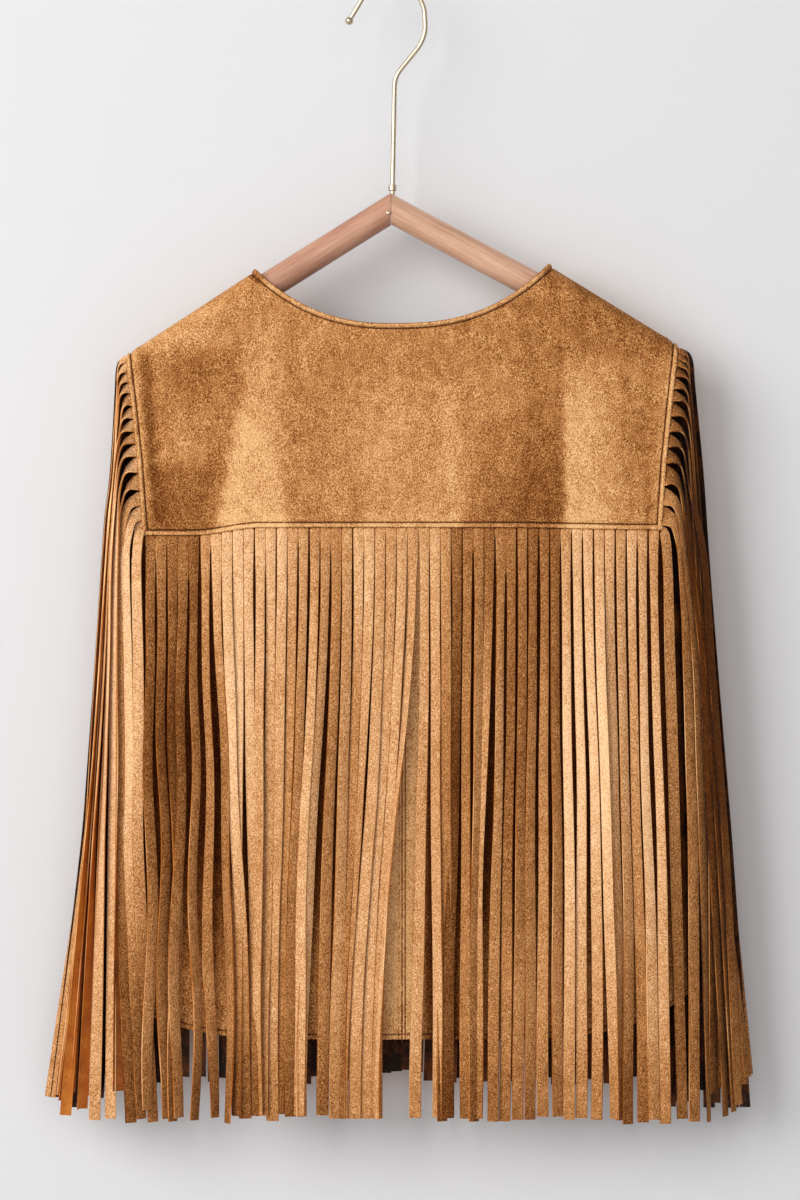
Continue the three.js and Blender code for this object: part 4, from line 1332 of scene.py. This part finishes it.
def dowel(hand, sign, woods):
    """One dowel arm: mitred at the middle plane, with an eased end and a hole for the wire."""
    turn = ARM_SLOPE - sign * ARM_TILT
    slope = math.radians(turn)
    run = Vector((sign * math.cos(slope), 0, -math.sin(slope)))
    up = Vector((sign * math.sin(slope), 0, math.cos(slope)))
    start = Vector((0, 0, APEX))
    around = 72
    ease = [(ARM_RADIUS * (1 - EASE_SHARE * (1 - math.cos(a))), ARM_LENGTH - EASE + EASE * math.sin(a))
            for a in (math.radians(d) for d in (18, 36, 54, 72, 90))]
    lines = []
    for k in range(around):
        a = 2 * math.pi * k / around
        reach = up * (ARM_RADIUS * math.cos(a)) + Vector((0, ARM_RADIUS * math.sin(a), 0))
        first = (sign * SEAM / 2 - reach.x) / run.x
        line = [start + reach + run * s for s in evenly(first, ARM_LENGTH - EASE, 24)]
        line += [start + reach * (r / ARM_RADIUS) + run * s for r, s in ease]
        lines.append(line)
    steps = len(lines[0])
    pairs = [(k * steps, (k + 1) % around * steps) for k in range(around)]
    faces = [(a + i, a + i + 1, b + i + 1, b + i) for a, b in pairs for i in range(steps - 1)]
    faces += [[k * steps for k in range(around)], [k * steps + steps - 1 for k in range(around)]]
    points = [metres(p) for line in lines for p in line]
    cutter, blank = drill(), placed("blank", finish_mesh(built(f"dowel_{hand}", points, faces=faces)))
    hole = blank.modifiers.new("hole", "BOOLEAN")
    hole.object, hole.operation, hole.solver = cutter, "DIFFERENCE", "EXACT"
    bpy.context.view_layer.update()
    drilled = bpy.data.meshes.new_from_object(blank.evaluated_get(bpy.context.evaluated_depsgraph_get()))
    for spent in (cutter, blank):
        bpy.data.objects.remove(spent)
    beech = oiled_beech(f"oiled_beech_{hand}", -sign * turn, woods)
    made = piece(f"dowel_{hand}", finish_mesh(drilled, 50), [beech])
    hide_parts(f"hanger_arm_{hand}")


def wire_line():
    """The wire's middle line, from the hook's tip to its foot in the wood."""
    given = [Vector((HOOK_TIP[0], 0, HOOK_TIP[1]))]
    for x, z, radius, first, last, steps in HOOK_BENDS:
        given += [Vector((x + radius * math.cos(math.radians(a)), 0, z + radius * math.sin(math.radians(a))))
                  for a in evenly(first, last, steps)]
    given.append(Vector((SHAFT_MIDDLE[0], 0, SHAFT_MIDDLE[1])))
    given.append(Vector((WIRE_X, 0, MITRE_TOP - WIRE_DEPTH + SEAM)))
    lengths = [0.0]
    for a, b in zip(given, given[1:]):
        lengths.append(lengths[-1] + (b - a).length)
    rows = [(s / lengths[-1], p) for s, p in zip(lengths, given)]
    return [curve_through(rows, t) for t in evenly(0, 1, 150)]


def hook():
    """The bent wire with its ball tip, and the collar above the wood."""
    line, points, around, collar_around = wire_line(), [], 20, 32
    for k, spot in enumerate(line):
        run = (line[min(k + 1, len(line) - 1)] - line[max(k - 1, 0)]).normalized()
        points += ring(spot, WIRE_RADIUS, run.cross(Y_AXIS), Y_AXIS, around)
    faces = ring_faces(len(line), around)
    middle, bore = Vector((COLLAR["x"], 0, COLLAR["z"])), WIRE_RADIUS + 0.1
    radius, half, bevel = COLLAR["radius"], COLLAR["height"] / 2, COLLAR["bevel"]
    profile = [(bore, half), (radius - bevel, half), (radius, half - bevel),
               (radius, bevel - half), (radius - bevel, -half), (bore, -half)]
    faces += ring_faces(len(profile), collar_around, start=len(points), capped=False)
    for r, z in profile:
        points += ring(middle + Vector((0, 0, z)), r, Vector((1, 0, 0)), Y_AXIS, collar_around)
    mesh = built("wire_hook", points, faces=faces)
    made = bmesh.new()
    made.from_mesh(mesh)
    bmesh.ops.create_uvsphere(made, u_segments=28, v_segments=18, radius=TIP_RADIUS * MM,
                              matrix=Matrix.Translation(metres(line[0])))
    made.to_mesh(mesh)
    made.free()
    done = piece("wire_hook", finish_mesh(mesh, 35), [NICKEL])
    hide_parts("hanger_hook")


def nail():
    """The nail's domed head, on the face of the left arm."""
    slope = math.radians(ARM_SLOPE + ARM_TILT)
    off_axis = (NAIL["z"] - (APEX + NAIL["x"] * math.tan(slope))) * math.cos(slope)
    face = math.sqrt(ARM_RADIUS ** 2 - off_axis ** 2) + NAIL["off"]
    dome = [(1, 0), (1, 0.45), (0.85, 0.8), (0.45, 1)]  # shares of its radius and height
    points, around = [], 24
    for wide, high in dome:
        middle = Vector((NAIL["x"], -face - high * NAIL["height"], NAIL["z"]))
        points += ring(middle, wide * NAIL["radius"], Vector((1, 0, 0)), Vector((0, 0, 1)), around)
    mesh = built("nail_head", points, faces=ring_faces(len(dome), around))
    done = piece("nail_head", finish_mesh(mesh, 35), [NICKEL])
    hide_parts("hanger_nail")


dowel("left", LEFT, LEFT_BEECH)
dowel("right", RIGHT, RIGHT_BEECH)
hook()
nail()

# ---------------------------------------------------------------- studio

WALL_AWAY = 42      # from the vest's middle plane
FLOOR_AT = -1010
STAGE_HALF = 9000
VEST_MIDDLE = (8, 0, -480)
FRAME_MIDDLE = (6.5, -444.6)  # x and z that the camera looks at
FRAME_HEIGHT = 864            # height that it sees at the vest's back
LENS = 133
SENSOR = 36


def flat_sheet(name, corners, material):
    mesh = built(name, [metres(c) for c in corners], faces=[(0, 1, 2, 3)])
    mesh.materials.append(material)
    made = placed(name, mesh)
    return made


def see_through_behind(material):
    """Lets the wall be looked through from behind it."""
    tree = material.node_tree
    geometry = node(tree, "ShaderNodeNewGeometry")
    clear = node(tree, "ShaderNodeBsdfTransparent")
    both = node(tree, "ShaderNodeMixShader", {
        0: geometry.outputs["Backfacing"], 1: tree.nodes["Principled BSDF"], 2: clear})
    connect(tree, tree.nodes["Material Output"], {"Surface": both})


wall_paint = rolled_paint("matt_white_wall_paint", "#D7D9DD")
see_through_behind(wall_paint)
backdrop = flat_sheet("studio_wall", [
    (-STAGE_HALF, WALL_AWAY, FLOOR_AT), (STAGE_HALF, WALL_AWAY, FLOOR_AT),
    (STAGE_HALF, WALL_AWAY, STAGE_HALF), (-STAGE_HALF, WALL_AWAY, STAGE_HALF)], wall_paint)
backdrop.visible_shadow = False
flat_sheet("studio_floor", [
    (-STAGE_HALF, -STAGE_HALF, FLOOR_AT), (STAGE_HALF, -STAGE_HALF, FLOOR_AT),
    (STAGE_HALF, STAGE_HALF, FLOOR_AT), (-STAGE_HALF, STAGE_HALF, FLOOR_AT)],
    rolled_paint("matt_pale_floor", "#C6C6C8"))


def softbox(name, place, side, power, tint):
    """A square soft light that faces the vest, with its side in mm and its power in watts."""
    light = bpy.data.lights.new(name, "AREA")
    light.shape = "RECTANGLE"
    light.size = light.size_y = side * MM
    light.energy = power
    light.color = colour(tint)[:3]
    made = placed(name, light)
    made.location = metres(place)
    made.rotation_euler = (metres(VEST_MIDDLE) - metres(place)).to_track_quat("-Z", "Y").to_euler()


softbox("key_light", (-2860, -3150, 990), 3150, 176, "#FFFCF8")
softbox("fill_light", (300, -3400, 300), 2200, 25, "#FFFAF4")
softbox("front_fill_light", (700, 2600, 600), 1600, 30, "#FFFFFF")

world = bpy.data.worlds.new("studio")
world.use_nodes = True
connect(world.node_tree, world.node_tree.nodes["Background"], {"Color": colour("#EBE8E6"), "Strength": 0.42})
bpy.context.scene.world = world
bpy.context.scene.view_settings.view_transform = "Standard"

camera = placed("camera", bpy.data.cameras.new("camera"))
camera.data.lens = LENS
camera.data.sensor_width = SENSOR
camera.location = metres((FRAME_MIDDLE[0], -FRAME_HEIGHT * LENS / SENSOR - DEPTH, FRAME_MIDDLE[1]))
camera.rotation_euler = (math.pi / 2, 0, 0)
bpy.context.scene.camera = camera
